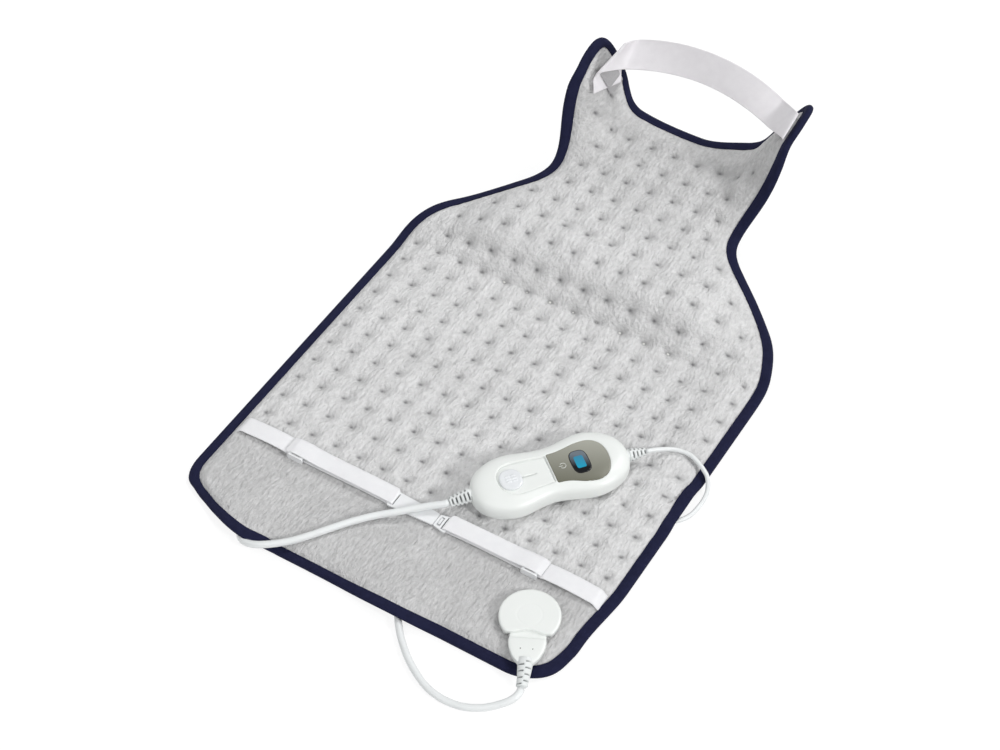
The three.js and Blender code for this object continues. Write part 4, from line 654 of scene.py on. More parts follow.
def curves_between(first, last, shares):
    """Cubic curves whose points are given as shares of the span between two corners."""
    first, last = np.array(first, float), np.array(last, float)
    stops = first + np.array([(0, 0), *shares]) * (last - first)
    return np.vstack([cubic(*stops[k:k + 4], 60) for k in range(0, len(stops) - 1, 3)])


def even_ring(points, step):
    """A closed line sampled again at even steps."""
    closed = np.vstack([points, points[:1]])
    run = run_along(closed)
    even = np.linspace(0, run[-1], int(round(run[-1] / step)) + 1)[:-1]
    return np.stack([np.interp(even, run, closed[:, n]) for n in range(2)], axis=1)


def ring_distance(ring, spots):
    """How far spots lie inside a closed ring that runs anticlockwise; less than 0 outside."""
    after = np.roll(ring, -1, axis=0)
    span = after - ring
    spots = np.asarray(spots, float)
    from_start = spots[:, None, :] - ring
    t = np.clip((from_start * span).sum(-1) / (span * span).sum(-1), 0, 1)
    least = np.linalg.norm(from_start - t[..., None] * span, axis=-1).min(axis=1)
    rises = (ring[:, 1] > spots[:, 1, None]) != (after[:, 1] > spots[:, 1, None])
    drop = np.where(span[:, 1] == 0, 1e-9, span[:, 1])
    crossing = ring[:, 0] + (spots[:, 1, None] - ring[:, 1]) * span[:, 0] / drop
    within = (rises & (spots[:, 0, None] < crossing)).sum(axis=1) % 2 == 1
    return np.where(within, least, -least)


def moved_in(ring, distance):
    """A smooth closed ring moved inwards."""
    run = unit(np.roll(ring, -1, axis=0) - np.roll(ring, 1, axis=0))
    return ring + distance * np.stack([-run[:, 1], run[:, 0]], axis=1)


def even_spots(low, high, pitch):
    """Spots of a grid of equal triangles between two corners."""
    u = np.arange(low[0], high[0], pitch)
    v = np.arange(low[1], high[1], pitch * math.sqrt(0.75))
    spots = np.stack(np.meshgrid(u, v, indexing="ij"), axis=-1)
    spots[:, ::2, 0] += pitch / 2
    return spots.reshape(-1, 2)


def two_sided(triangles, shift):
    """Faces of a closed body: triangles above, the same below, and a wall round their rim."""
    edges = np.vstack([triangles[:, [0, 1]], triangles[:, [1, 2]], triangles[:, [2, 0]]])
    forward = {tuple(e) for e in edges.tolist()}
    rim = [e for e in forward if (e[1], e[0]) not in forward]
    faces = triangles.tolist() + (triangles[:, ::-1] + shift).tolist()
    return faces + [(b, a, a + shift, b + shift) for a, b in rim]


corner_turn = np.linspace(-np.pi / 2, 0, 40)[:, None]
right_half = np.vstack([
    np.linspace((0, 0), (pad_half - corner_radius, 0), 60),
    np.array([pad_half - corner_radius, corner_radius])
    + corner_radius * np.hstack([np.cos(corner_turn), np.sin(corner_turn)]),
    np.linspace((pad_half, corner_radius), (pad_half, side_height), 60),
    curves_between((pad_half, side_height), shoulder_foot, shoulder_shares),
    curves_between(shoulder_foot, ear_outer, ear_shares),
    curves_between(ear_outer, ear_inner, tip_shares),
    curves_between(ear_inner, (0, neckline_height), neckline_shares),
])
outline = even_ring(np.vstack([right_half, (right_half * (-1, 1))[::-1][1:-1]]), outline_step)


def distance_inside(spots):
    """How far spots of the pattern lie inside its outline; less than 0 outside it."""
    parts = np.array_split(np.asarray(spots, float), max(len(spots) // 3000, 1))
    return np.concatenate([ring_distance(outline, part) for part in parts])


def inset(distance):
    """The outline moved inwards; where its corners cross themselves, a straight line joins them."""
    moved = moved_in(outline, distance)
    good = distance_inside(moved) > distance - 0.35
    index = np.arange(len(moved))
    return np.stack([
        np.interp(index, index[good], moved[good, n], period=len(moved)) for n in range(2)
    ], axis=1)


# The quilted front: short grey plush over wadding. Small tufts pull it down on a square pitch,
# with soft pillows between them. It is plain below the waist strap and along the tape.
tuft_pitch, first_tuft_row, tuft_rows, tuft_margin = 26, 127, 20, 22.5
pillow_foot, pillow_height, plain_height = 9.6, 12, 9.4
tuft_point, tuft_bowl, tuft_fold = 1.2, 2.0, 0.5
front_under, edge_under = 5.7, 3.1
roll_foot, roll_width = 4.9, 10.5
tape_width, cover_inset = 10.2, 2.4
tuft_columns = np.arange(-7, 8)
tuft_spots = np.stack(np.meshgrid(
    tuft_columns * tuft_pitch, first_tuft_row + tuft_pitch * np.arange(tuft_rows), indexing="ij",
), axis=-1)
tuft_there = (distance_inside(tuft_spots.reshape(-1, 2)) > tuft_margin).reshape(tuft_spots.shape[:2])
tuft_turn = np.random.default_rng(7).uniform(0, 2 * np.pi, tuft_there.shape)
tuft_pull = np.random.default_rng(8).uniform(0.8, 1.1, tuft_there.shape)


def ripple(u, v, length, seed):
    """An uneven surface between about -1 and 1: waves of about one length in many directions."""
    rng = np.random.default_rng(seed)
    total = 0
    for _ in range(9):
        angle, phase, scale = rng.uniform(0, 2 * np.pi), rng.uniform(0, 2 * np.pi), rng.uniform(0.75, 1.4)
        run = u * math.cos(angle) + v * math.sin(angle)
        total = total + np.cos(2 * np.pi * scale / length * run + phase)
    return total / 4.5


def nearest_tuft(u, v):
    """Offsets to the nearest tuft's spot, with its share of pull and its turn; no pull, no tuft."""
    column = np.clip(np.round(u / tuft_pitch) + 7, 0, len(tuft_columns) - 1).astype(int)
    row = np.clip(np.round((v - first_tuft_row) / tuft_pitch), 0, tuft_rows - 1).astype(int)
    du, dv = u - tuft_spots[column, row, 0], v - tuft_spots[column, row, 1]
    return du, dv, tuft_there[column, row] * tuft_pull[column, row], tuft_turn[column, row]


def plush_top(u, v, inside):
    """Height of the plush: pillows and tufts in the quilted field, and a roll down to the tape.

    The tufts are shallower where the pad starts to rise, so that the wadding stays covered.
    """
    quilted = ramp(v, 108, 20) * ramp(inside, 17, 15)
    swell = 0.5 * (
        np.sin(np.pi * u / tuft_pitch) ** 2 + np.sin(np.pi * (v - first_tuft_row) / tuft_pitch) ** 2
    )
    pillows = pillow_foot + (pillow_height - pillow_foot) * swell ** 0.8
    du, dv, pull, turn = nearest_tuft(u, v)
    reach = np.hypot(du * 0.85, dv * 1.15)
    folds = np.cos(6 * np.arctan2(dv, du) + turn + 0.12 * reach) * np.exp(-((reach - 5.5) / 3) ** 2)
    bowl = np.exp(-((reach / 6.2) ** 2))
    tuft = pull * (tuft_point * np.exp(-reach / 2) + tuft_bowl * bowl + tuft_fold * folds)
    plain = plain_height + 0.25 * ripple(u, v, 55, 3)
    top = plain + quilted * (pillows - plain) - tuft * ramp(inside, 15, 6)
    top = np.maximum(top, 6.3 + 1.7 * np.exp(-(((v - rise_start - 1) / 16) ** 2)))
    top = top + 0.16 * ripple(u, v, 8, 5) + 0.35 * ripple(u, v, 34, 6) * quilted
    roll = np.clip((inside - tape_width + 0.6) / roll_width, 0, 1)
    pucker = 0.35 * ripple(u, v, 13, 9) * np.exp(-(((inside - 15) / 4) ** 2))
    return roll_foot + (top - roll_foot) * (1 - (1 - roll) ** 2.3) + pucker


def filled_outline(ring, field):
    """Triangles between a closed ring of the pattern and the spots inside it."""
    count = len(ring)
    made = delaunay_2d_cdt(
        [Vector(p) for p in np.vstack([ring, field]).tolist()],
        [(k, (k + 1) % count) for k in range(count)],
        [],
        1,
        1e-5,
    )
    return np.array([tuple(p) for p in made[0]]), np.array([f for f in made[2] if len(f) == 3])


def closed_layer(name, spots, triangles, upper, lower):
    """A closed body between two heights over the same triangles of the pattern."""
    points = np.vstack([bend(spots[:, 0], spots[:, 1], upper), bend(spots[:, 0], spots[:, 1], lower)])
    return mesh_piece(name, points, two_sided(triangles, len(spots)))


def field_spots(pitch, margin, tuft_rings):
    """Even spots inside the outline, with rings of closer ones round each tuft."""
    spots = even_spots((-pad_half, pitch / 2), (pad_half, pad_length), pitch)
    spots = spots[distance_inside(spots) > margin]
    if tuft_rings:
        du, dv, pull, _ = nearest_tuft(spots[:, 0], spots[:, 1])
        spots = spots[(np.hypot(du, dv) > tuft_rings[-1][0] + pitch / 2) | (pull == 0)]
        there = tuft_spots[tuft_there]
        for radius, count in tuft_rings:
            turn = 2 * np.pi * np.arange(count) / count + radius
            ring = radius * np.stack([np.cos(turn), np.sin(turn)], axis=1)
            spots = np.vstack([spots, (there[:, None, :] + ring).reshape(-1, 2)])
    return spots


plush_pitch = 3
tuft_rings = [(0.01, 1), (1.1, 6), (2.3, 10), (3.7, 13)]
spots, triangles = filled_outline(inset(cover_inset), field_spots(plush_pitch, 5, tuft_rings))
inside = distance_inside(spots)
plush_low = edge_under + (front_under - edge_under) * ramp(inside, 12.3, 4.7)
plush = closed_layer(
    "plush_front", spots, triangles, plush_top(spots[:, 0], spots[:, 1], inside), plush_low
)
# Painted shade: the pile's colour is dark in the bottom of each tuft, with a softer patch to the tuft's +u
# side where the dimple's wall lies in shade.
du, dv, pull, _ = nearest_tuft(spots[:, 0], spots[:, 1])
tuft_painted_shade = 0.85 * np.exp(-((np.hypot(du * 0.8, dv * 1.2) / 2.1) ** 2))
tuft_painted_shade = (tuft_painted_shade + 0.2 * np.exp(-((np.hypot(du - 3, dv * 1.2) / 6.5) ** 2))) * (pull > 0)
keep_values(plush, "tuft", np.tile(tuft_painted_shade, 2))
# Painted shade: the pile's colour is darker over the plain part and towards the neck.
pile_painted_shade = ease((118 - spots[:, 1]) / 10) + 0.8 * ramp(spots[:, 1], 470, 120)
keep_values(plush, "pile_painted_shade", np.tile(pile_painted_shade, 2))


def plush_colour(v):
    """Pale grey pile with soft clouds and fine flecks, with painted shade in and beside each tuft, over the
    plain part and towards the neck.
    """
    clouds, flecks = v.noise(30, 3), v.noise(330, 4, stretch=(1, 0.5, 1))
    # Painted shade darkens the pile over the plain part and towards the neck.
    pile = clouds * 0.6 + flecks * 1.5 - 0.42 - v.attribute("pile_painted_shade") * 0.5
    grey = pile.between((0.53, 0.527, 0.527), (0.78, 0.777, 0.777))
    return grey.darkened(v.attribute("tuft") * 0.85, (0.12, 0.12, 0.125))


plush_finish = finish(
    "plush_pile",
    Base_Color=plush_colour,
    Roughness=0.95,
    Sheen_Weight=0.25,
    Sheen_Roughness=0.5,
    Specular_IOR_Level=0.2,
    Normal=lambda v: (
        v.noise(380, 5, stretch=(1, 0.4, 1)) * 0.9 + v.noise(120, 3) * 1.0
    ).bump(0.0028),
)
wear(plush, plush_finish)
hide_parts("plush_front_cover")
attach(plush, "pad")

# The back cover: one plain knitted cloth, which also shows behind the raised neck.
back_spots, back_triangles = filled_outline(inset(cover_inset), field_spots(8, 6, []))
back_inside = distance_inside(back_spots)
back = closed_layer(
    "back_cloth", back_spots, back_triangles,
    0.9 + 1.7 * (1 - ramp(back_inside, 11, 4)), 2.1 * (1 - ramp(back_inside, 11, 5)),
)
back_finish = finish(
    "back_knit",
    Base_Color=lambda v: v.noise(35, 3).between((0.52, 0.52, 0.525), (0.62, 0.62, 0.625)),
    Roughness=0.92,
    Sheen_Weight=0.2,
    Normal=lambda v: (v.noise(900, 2, stretch=(1, 2.2, 1)) * 0.6 + v.noise(90, 2) * 0.4).bump(0.0005),
)
wear(back, back_finish)
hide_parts("back_cover")
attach(back, "pad")

# The binding: a navy woven tape folded over the edge of both covers and stitched through.
tape_height, tape_thickness = 6.8, 1.4


def tape_profile(points_round=9):
    """Distances inside the outline and heights of the folded tape, round its closed section."""
    turn = np.linspace(np.pi / 2, 3 * np.pi / 2, points_round)
    outer_half, inner_half = tape_height / 2, tape_height / 2 - tape_thickness
    width = np.array([tape_width, 9.9, 9.2, 8.6, 8.2, 7.8, 7.3, 6.0, 4.6])
    dip = np.array([0.75, 0.2, 0.0, 0.12, 0.3, 0.12, -0.05, -0.16, -0.1])
    round_turn = np.stack([np.cos(turn), np.sin(turn)], axis=1)
    outer = outer_half + outer_half * round_turn
    inner = outer_half + inner_half * round_turn
    upper = np.stack([width, tape_height - dip], axis=1)
    lower = np.stack([width, dip], axis=1)[::-1]
    lower_in = np.array([[9.9, tape_thickness], [7.0, tape_thickness]])
    upper_in = np.array([[7.0, tape_height - tape_thickness], [9.9, tape_height - tape_thickness]])
    return np.vstack([upper, outer, lower, lower_in, inner[::-1], upper_in])


tape_columns = []
for distance, height in tape_profile():
    ring = inset(distance)
    wave = 0.12 * ripple(ring[:, 0], ring[:, 1], 17, 21) * (distance > 1)
    tape_columns.append(bend(ring[:, 0], ring[:, 1], height + wave))
tape = grid_piece("navy_binding", np.stack(tape_columns, axis=1), wrap_rows=True, wrap_columns=True)


def woven(v, along, across, depth):
    """A plain weave on the UV map: threads of two directions, each over the other in turn."""
    place = v.node("TexCoord", output=2)
    parts = [v.node("SeparateXYZ", (), {0: place}, output=n) for n in (0, 1)]
    warp = (parts[0] * (2 * math.pi / along)).sine()
    weft = (parts[1] * (2 * math.pi / across)).sine()
    return (warp * weft * 0.5 + 0.5 + v.noise(600, 2) * 0.3).bump(depth)


tape_finish = finish(
    "navy_tape",
    Base_Color=lambda v: v.noise(160, 4).between((0.0065, 0.0075, 0.028), (0.0165, 0.0185, 0.056)),
    Roughness=0.85,
    Specular_IOR_Level=0.15,
    Normal=lambda v: woven(v, 0.9, 0.7, 0.00022),
)
wear(tape, tape_finish)
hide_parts("edge_binding")
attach(tape, "pad")

# The neck strap: a pale woven band that arches between the ears. Its right end is sewn down
# inside the right ear, and its left end folds under and closes on a hook and loop patch.
def square_to(grid):
    """Unit vectors square to a grid's surface."""
    return unit(np.cross(np.gradient(grid, axis=0), np.gradient(grid, axis=1)))


def thick_band(name, middle, thickness, rounding=0.35):
    """A closed band round a grid of middle points, whose long edges are rounded."""
    through = square_to(middle)
    half = thickness / 2
    over, under = middle + half * through, middle - half * through
    for edge in (0, -1):
        over[:, edge] = middle[:, edge] + through[:, edge] * (half - rounding)
        under[:, edge] = middle[:, edge] - through[:, edge] * (half - rounding)
    grid = np.concatenate([over, under[:, ::-1]], axis=1)
    return grid_piece(name, grid, wrap_columns=True, capped=True)


def bridge(start, start_run, end, end_run, count):
    """A cubic run of rows between two rows of points, leaving and arriving as the runs say."""
    t = np.linspace(0, 1, count + 1)[1:, None, None]
    return (
        (2 * t ** 3 - 3 * t ** 2 + 1) * start + (t ** 3 - 2 * t ** 2 + t) * start_run
        + (3 * t ** 2 - 2 * t ** 3) * end + (t ** 3 - t ** 2) * end_run
    )


strap_half_span, strap_width, strap_thickness = 104, 32, 1.6
strap_half_marks = np.array([0.5, 0.76, 0.82, 0.86, 0.9, 0.94, 0.985, 1])
strap_marks = np.concatenate([-strap_half_marks[::-1], [0], strap_half_marks])
strap_top, strap_sag = (637.8, 131.5), (20, 15.5)


def strap_row(x):
    """One row across the free part of the neck strap: it sags and leans more towards its ends."""
    share = x / strap_half_span
    centre = np.array([x, *(top - sag * share ** 2 for top, sag in zip(strap_top, strap_sag))])
    tilt = math.radians(58 - 37 * abs(share) ** 1.5)
    across = np.array([0, math.cos(tilt), math.sin(tilt)])
    wide = strap_width / 2 * (1 + 0.06 * ramp(-x, 40, 60))
    return centre + (2.1 + strap_marks[:, None] * wide) * across


def row_between(first, last):
    """A row of the strap between two points."""
    first, last = np.asarray(first, float), np.asarray(last, float)
    return first + (strap_marks[:, None] + 1) / 2 * (last - first)


free_rows = [strap_row(x) for x in np.linspace(-76, 84, 70)]
left_fold = row_between(bend(-137, 614, 17), bend(-137, 614, 17) + (14, 31.5, 23))
left_low = row_between(bend(-133, 608, 15.2), bend(-124, 648, 16.5))
left_tip = row_between(bend(-124, 603, 14.9), bend(-109, 634, 15.2))
right_seat = row_between(bend(152.5, 609, 12.2), bend(155, 634, 12.2))
run_left, run_right = (free_rows[0] - free_rows[1]) * 9, (free_rows[-1] - free_rows[-2]) * 9
turn_under = np.array([5, -3, -8.0])
to_left = bridge(free_rows[0], run_left, left_fold, np.array([-14, -6, -8.0]), 22)
fold_down = bridge(left_fold, np.array([-6, -3, -9.0]), left_low, turn_under, 9)
tab_down = bridge(left_low, turn_under, left_tip, (left_tip - left_low) * 0.8, 8)
to_right = bridge(free_rows[-1], run_right, right_seat, np.array([10, -5, -6.0]), 16)
strap_rows = np.concatenate([
    tab_down[::-1], fold_down[::-1], to_left[::-1], np.array(free_rows), to_right,
])
rib_height = 0.22
ridge, groove = (np.exp(-(((np.abs(strap_marks) - at) / 0.03) ** 2)) for at in (0.9, 0.86))
rib = rib_height * (ridge - 0.6 * groove)
strap_middle = strap_rows + rib[None, :, None] * square_to(strap_rows)
neck_strap = thick_band("neck_strap_band", strap_middle, strap_thickness)
loop_cloth = finish(
    "loop_cloth",
    Base_Color=lambda v: v.noise(120, 3).between((0.8, 0.775, 0.8), (0.9, 0.88, 0.9)),
    Roughness=0.9,
    Sheen_Weight=0.2,
    Normal=lambda v: woven(v, 1.1, 1.1, 0.00016),
)
wear(neck_strap, loop_cloth)
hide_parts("neck_strap")
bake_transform(neck_strap)


def ear_patch(name, low, high, u_middle, v_middle, half_u, half_v, corner):
    """A rounded cloth patch on the left ear, between two heights above the pad's underside."""
    edge_u, edge_v = squared(np.linspace(0, 2 * np.pi, 49)[:-1], 2 / corner)
    rounding, crown = 0.3, 0.1
    profile = (
        (0.02, low), (0.98, low), (1, low + rounding), (1, high - rounding), (0.98, high),
        (0.5, high + crown), (0.02, high + crown),
    )
    rows = [
        bend(-(u_middle + half_u * edge_u * share), v_middle + half_v * edge_v * share, height)
        for share, height in profile
    ]
    return grid_piece(name, np.stack(rows), wrap_columns=True, capped=True)


# The patches are grey: partly their own hook and loop cloth, and partly painted shade from the strap's end
# that lies over them.
patch_cloth_and_shade = finish(
    "patch_cloth_and_shade",
    Base_Color=lambda v: v.noise(700, 2).between((0.36, 0.355, 0.36), (0.5, 0.49, 0.5)),
    Roughness=0.95,
    Sheen_Weight=0.3,
    Normal=lambda v: v.noise(1500, 2).bump(0.0006),
)
loop_patch = ear_patch("loop_patch_cloth", 12.3, 13.4, 121, 629, 14, 12, 9)
wear(loop_patch, patch_cloth_and_shade)
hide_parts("loop_patch")
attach(loop_patch, "pad")
hook_patch = ear_patch("hook_patch_cloth", 16.4, 17.1, 125, 627, 9.5, 11, 9)
wear(hook_patch, patch_cloth_and_shade)
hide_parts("hook_patch")
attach(hook_patch, "neck_strap")

# The waist strap: white webbing from each side seam through a slider to the clasp, where it
# turns round a bar and comes back into the slider.
webbing_half, webbing_thickness, webbing_spread = 6.5, 1.2, 2.4
slider_at = 124


def waist_half(name, side, bar, wrap):
    """One half of the waist strap, sewn into the binding at one end and into its slider at the other.

    The band is narrow at the clasp, and where its lower layer passes the slider. Elsewhere each
    edge stands webbing_spread further out, and the band lies as much further up the pad.
    """
    line = [
        (192.6, 6.2), (190.2, 8.4), (187, 11.6), (178, 12.8), (160, 13.9), (146, 13.9), (138, 13.2),
        (130, 12.1), (bar + 24, 12.1), (bar + 8, 11.5), (bar, 10.9), (bar - 2.7, 10.9),
        (wrap + 0.2, 11.5), (wrap, 12.7), (wrap + 0.2, 13.9),
        (bar - 2.7, 14.5), (bar, 14.6), (bar + 8, 14.9), (bar + 24, 15.2), (104, 15.6), (112, 16.5),
        (slider_at - 5, 17.1), (slider_at + 5, 17.1), (132, 16.2), (135.5, 15.3),
    ]
    route = smooth_route([(side * x, waist_strap_along, z) for x, z in line], 0.7)
    grid = band_grid(route, (0, 1, 0), webbing_half, webbing_thickness, 0.3)
    across = np.abs(route[:, 0])
    upper = route[:, 2] > 13.4
    freed = np.where(upper, ease((across - bar + 6) / 5), ramp(across, 126, 6))[:, None]
    grid[..., 1] += freed * webbing_spread * (1 + (grid[..., 1] - waist_strap_along) / webbing_half)
    return grid_piece(name, grid, wrap_columns=True, capped=True)


webbing_finish = finish(
    "white_webbing",
    Base_Color=lambda v: v.noise(150, 3).between((0.84, 0.84, 0.86), (0.92, 0.92, 0.93)),
    Roughness=0.75,
    Normal=lambda v: woven(v, 1.0, 0.9, 0.00018),
)
waist_halves = (("left", -1, 24, 20.1, "pad"), ("right", 1, 37.6, 33.7, "waist_strap_right"))
for hand, side, bar, wrap, body in waist_halves:
    webbing = wear(waist_half(f"waist_webbing_{hand}", side, bar, wrap), webbing_finish)
    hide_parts(f"waist_strap_{hand}")
    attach(webbing, body)


def softened(obj, width, segments=2, angle=35):
    """Welds and rounds the sharp edges of a moulded or stamped solid."""
    weld = obj.modifiers.new("weld", "WELD")
    weld.merge_threshold = 0.02 * mm
    bevel = obj.modifiers.new("bevel", "BEVEL")
    bevel.width = width * mm
    bevel.segments = segments
    bevel.limit_method = "ANGLE"
    bevel.angle_limit = math.radians(angle)
    return obj


clear_plastic = finish(
    "clear_plastic",
    Base_Color=lambda v: v.noise(80).between((0.78, 0.79, 0.8), (0.86, 0.87, 0.88)),
    Roughness=lambda v: v.noise(400) * 0.1 + 0.16,
    Coat_Weight=0.3,
    Coat_Roughness=0.1,
)
for name in ("slider_left", "slider_right", "clasp_hook", "clasp_eye"):
    wear(softened(nodes[name], 0.4), clear_plastic)


# The controller: two glossy white half shells with a lobe at each end. A sunk track for the
# heat switch and an olive panel with the display lie on top.
def in_group(points, middle, degrees):
    """Points of a group's own axes as points of the pattern."""
    c, s = math.cos(math.radians(degrees)), math.sin(math.radians(degrees))
    x, y, z = np.moveaxis(np.asarray(points, float), -1, 0)
    return np.stack([middle[0] + c * x - s * y, middle[1] + s * x + c * y, middle[2] + z], axis=-1)


controller_middle, controller_turn = (88.8, 188.2, 12.6), 50.9


def on_controller(points):
    return in_group(points, controller_middle, controller_turn)


def relief_plate(name, rings, heights, pitch, top, floor, place, margin=0.8):
    """A plate on a flat floor. Closed rings with given heights guide its net; a function of the
    spots inside them gives the rest of its top."""
    field = even_spots(rings[0].min(axis=0), rings[0].max(axis=0), pitch)
    keep = ring_distance(rings[0], field) > margin
    for ring in rings[1:]:
        keep &= np.abs(ring_distance(ring, field)) > margin * 0.6
    field = field[keep]
    edges, start = [], 0
    for ring in rings:
        edges += [(start + k, start + (k + 1) % len(ring)) for k in range(len(ring))]
        start += len(ring)
    points = np.vstack([*rings, field])
    made = delaunay_2d_cdt([Vector(p) for p in points.tolist()], edges, [], 1, 1e-6)
    spots = np.array([tuple(p) for p in made[0]])
    triangles = np.array([f for f in made[2] if len(f) == 3])
    wanted = np.concatenate([
        *[np.broadcast_to(h, len(r)) for r, h in zip(rings, heights)], np.full(len(field), np.nan),
    ])
    sources = [min(s) if s else -1 for s in made[3]]
    z = np.array([wanted[s] if s >= 0 else np.nan for s in sources])
    z = np.where(np.isnan(z), top(spots[:, 0], spots[:, 1]), z)
    both = np.vstack([np.column_stack([spots, level]) for level in (z, np.full(len(z), floor))])
    return mesh_piece(name, place(both), two_sided(triangles, len(spots)))


def flat_at(height):
    """A flat top for a plate."""
    return lambda x, y: np.full(len(x), height)


shell_reach, shell_narrow, shell_lobe = 75, 27.6, 6
dome_foot, dome_rise, dome_run = 9.2, 12.8, 19.84
keel_height, keel_run = 9, 8.96
upper_seam, lower_seam, panel_floor = 9.15, 9.05, 20.4
shell_turn = np.linspace(0, 2 * np.pi, 241)[:-1]
shell_x = shell_reach * np.cos(shell_turn)
shell_side = np.sign(np.sin(shell_turn))
far_bulge = 1.2 + 3 * ramp(shell_x, 5, 45)
near_waist = -2.6 * np.exp(-(((shell_x + 12) / 24) ** 2))
shell_wide = shell_narrow + shell_lobe * ease(np.abs(shell_x) / shell_reach / 0.6)
shell_wide = shell_wide + np.where(np.sin(shell_turn) > 0, far_bulge, near_waist)
shell_end = (1 - np.abs(shell_x / shell_reach) ** 3.4) ** (1 / 2.1)
shell_ring = even_ring(np.stack([shell_x, shell_side * shell_wide * shell_end], axis=1), 1.6)
shell_insets = (0, 0.05, 0.16, 0.34, 0.7, 1.2, 1.9, 2.8, 4, 5.5, 7)


def dome_height(inside):
    """The top shell's height at a distance inside the outline."""
    return dome_foot + dome_rise * (1 - (1 - np.clip(inside / dome_run, 0, 1)) ** 2.6) ** 0.29


def keel_depth(inside):
    """The bottom shell's height at a distance inside the outline."""
    return keel_height - keel_height * (1 - (1 - np.clip(inside / keel_run, 0, 1)) ** 2.2) ** 0.3


def dome(x, y):
    """The top shell's height over a spot."""
    return dome_height(ring_distance(shell_ring, np.stack([x, y], axis=-1)))


def keel(x, y):
    """The bottom shell's height under a spot."""
    return keel_depth(ring_distance(shell_ring, np.stack([x, y], axis=-1)))


def shape_ring(stops, grow, step=0.8):
    """A closed ring through cubic curves given by their four points each, grown outwards."""
    runs = [cubic(*(np.array(p, float) for p in four), 40)[:-1] for four in stops]
    return moved_in(even_ring(np.vstack(runs), step), -grow)


def straight(a, b):
    """A straight side as the four points of a cubic curve."""
    a, b = np.array(a, float), np.array(b, float)
    return a, a + (b - a) / 3, b - (b - a) / 3, b


def track_ring(grow):
    """The heat switch's track: a straight side at the middle and a round one at the shell's end."""
    sides = [
        straight((0, -14), (0, 14)),
        ((0, 14), (0, 15.2), (-0.6, 15.5), (-2, 15.6)),
        straight((-2, 15.6), (-31, 18.5)),
        ((-31, 18.5), (-45, 18.5), (-50, 11.1), (-50, 0)),
        ((-50, 0), (-50, -11.1), (-45, -18.5), (-31, -18.5)),
        straight((-31, -18.5), (-2, -15.6)),
        ((-2, -15.6), (-0.6, -15.5), (0, -15.2), (0, -14)),
    ]
    return shape_ring(sides, grow)


def panel_ring(grow):
    """The display's panel: a straight side at the middle and a wide round end."""
    sides = [
        straight((1.2, 14.6), (1.2, -14.6)),
        ((1.2, -14.6), (1.2, -16.4), (1.8, -17), (2.4, -17)),
        ((2.4, -17), (18.5, -17), (22.2, -25), (37, -25)),
        ((37, -25), (49, -25), (55, -14), (55, 0)),
        ((55, 0), (55, 12.4), (48.4, 20.6), (37, 20.6)),
        ((37, 20.6), (22.2, 20.6), (18.5, 16), (2.4, 16)),
        ((2.4, 16), (1.8, 16), (1.2, 15.8), (1.2, 14.6)),
    ]
    return shape_ring(sides, grow)


def oval_ring(x, y, half_x, half_y, power, step=0.8):
    """A superellipse ring round a middle."""
    across, along = squared(np.linspace(0, 2 * np.pi, 361)[:-1], 2 / power)
    return even_ring(np.stack([x + half_x * across, y + half_y * along], axis=1), step)


track_floor, slot_floor, panel_recess = 20.5, 18.5, 1.1
slot_middle, slot_reach = -26.7, 14


def shell_top(x, y):
    """The top shell: dome, sunk track with its slot, and the panel's recess."""
    spots = np.stack([x, y], axis=-1)
    z = dome(x, y)
    z = np.where(ring_distance(track_ring(0), spots) > 0, track_floor, z)
    z = np.where(ring_distance(oval_ring(slot_middle, 0, slot_reach, 0.6, 6), spots) > 0, slot_floor, z)
    return np.where(ring_distance(panel_ring(0.2), spots) > 0, dome(x, y) - panel_recess, z)


def on_dome(ring, drop=0):
    """Heights of a ring that lies on the dome, or below it."""
    return dome(ring[:, 0], ring[:, 1]) - drop


shell_plastic = finish(
    "shell_plastic",
    Base_Color=lambda v: v.noise(40).between((0.8, 0.825, 0.8), (0.84, 0.86, 0.84)),
    Roughness=lambda v: v.noise(260, 3) * 0.1 + 0.36,
    Normal=lambda v: v.noise(1300, 2).bump(0.000008),
    Coat_Weight=0.1,
    Coat_Roughness=0.2,
)
top_rings = [moved_in(shell_ring, d) for d in shell_insets]
top_heights = [dome_height(d) for d in shell_insets]
track_rings = [(track_ring(0.7), 0.0), (track_ring(0.3), 0.06), (track_ring(0.1), 0.35)]
shell_rings = top_rings + [r for r, _ in track_rings] + [
    track_ring(-0.15), track_ring(-0.65), track_ring(-1.0),
    oval_ring(slot_middle, 0, slot_reach + 0.1, 0.75, 6, 0.5),
    oval_ring(slot_middle, 0, slot_reach - 0.1, 0.45, 6, 0.5),
    panel_ring(0.45), panel_ring(0.28), panel_ring(0.2),
]
shell_heights = top_heights + [on_dome(r, drop) for r, drop in track_rings] + [
    track_floor - 0.7, track_floor - 0.7, track_floor, track_floor, slot_floor,
    on_dome(panel_ring(0.45)), on_dome(panel_ring(0.28), 0.12), on_dome(panel_ring(0.2), panel_recess),
]
top_shell = relief_plate(
    "controller_top", shell_rings, shell_heights, 2.0, shell_top, upper_seam, on_controller, margin=0.9
)
wear(top_shell, shell_plastic)
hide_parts("controller_top_shell")
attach(top_shell, "pad")
keel_insets = (0, 0.05, 0.16, 0.34, 0.7, 1.2, 2.0, 3.2, 4.6, 6.5)
bottom_shell = relief_plate(
    "controller_bottom", [moved_in(shell_ring, d) for d in keel_insets],
    [keel_depth(d) for d in keel_insets], 4.0, keel, lower_seam, on_controller, margin=1.5,
)
wear(bottom_shell, shell_plastic)
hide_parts("controller_bottom_shell")
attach(bottom_shell, "pad")
gleam_x, gleam_y = 0.52, -0.854


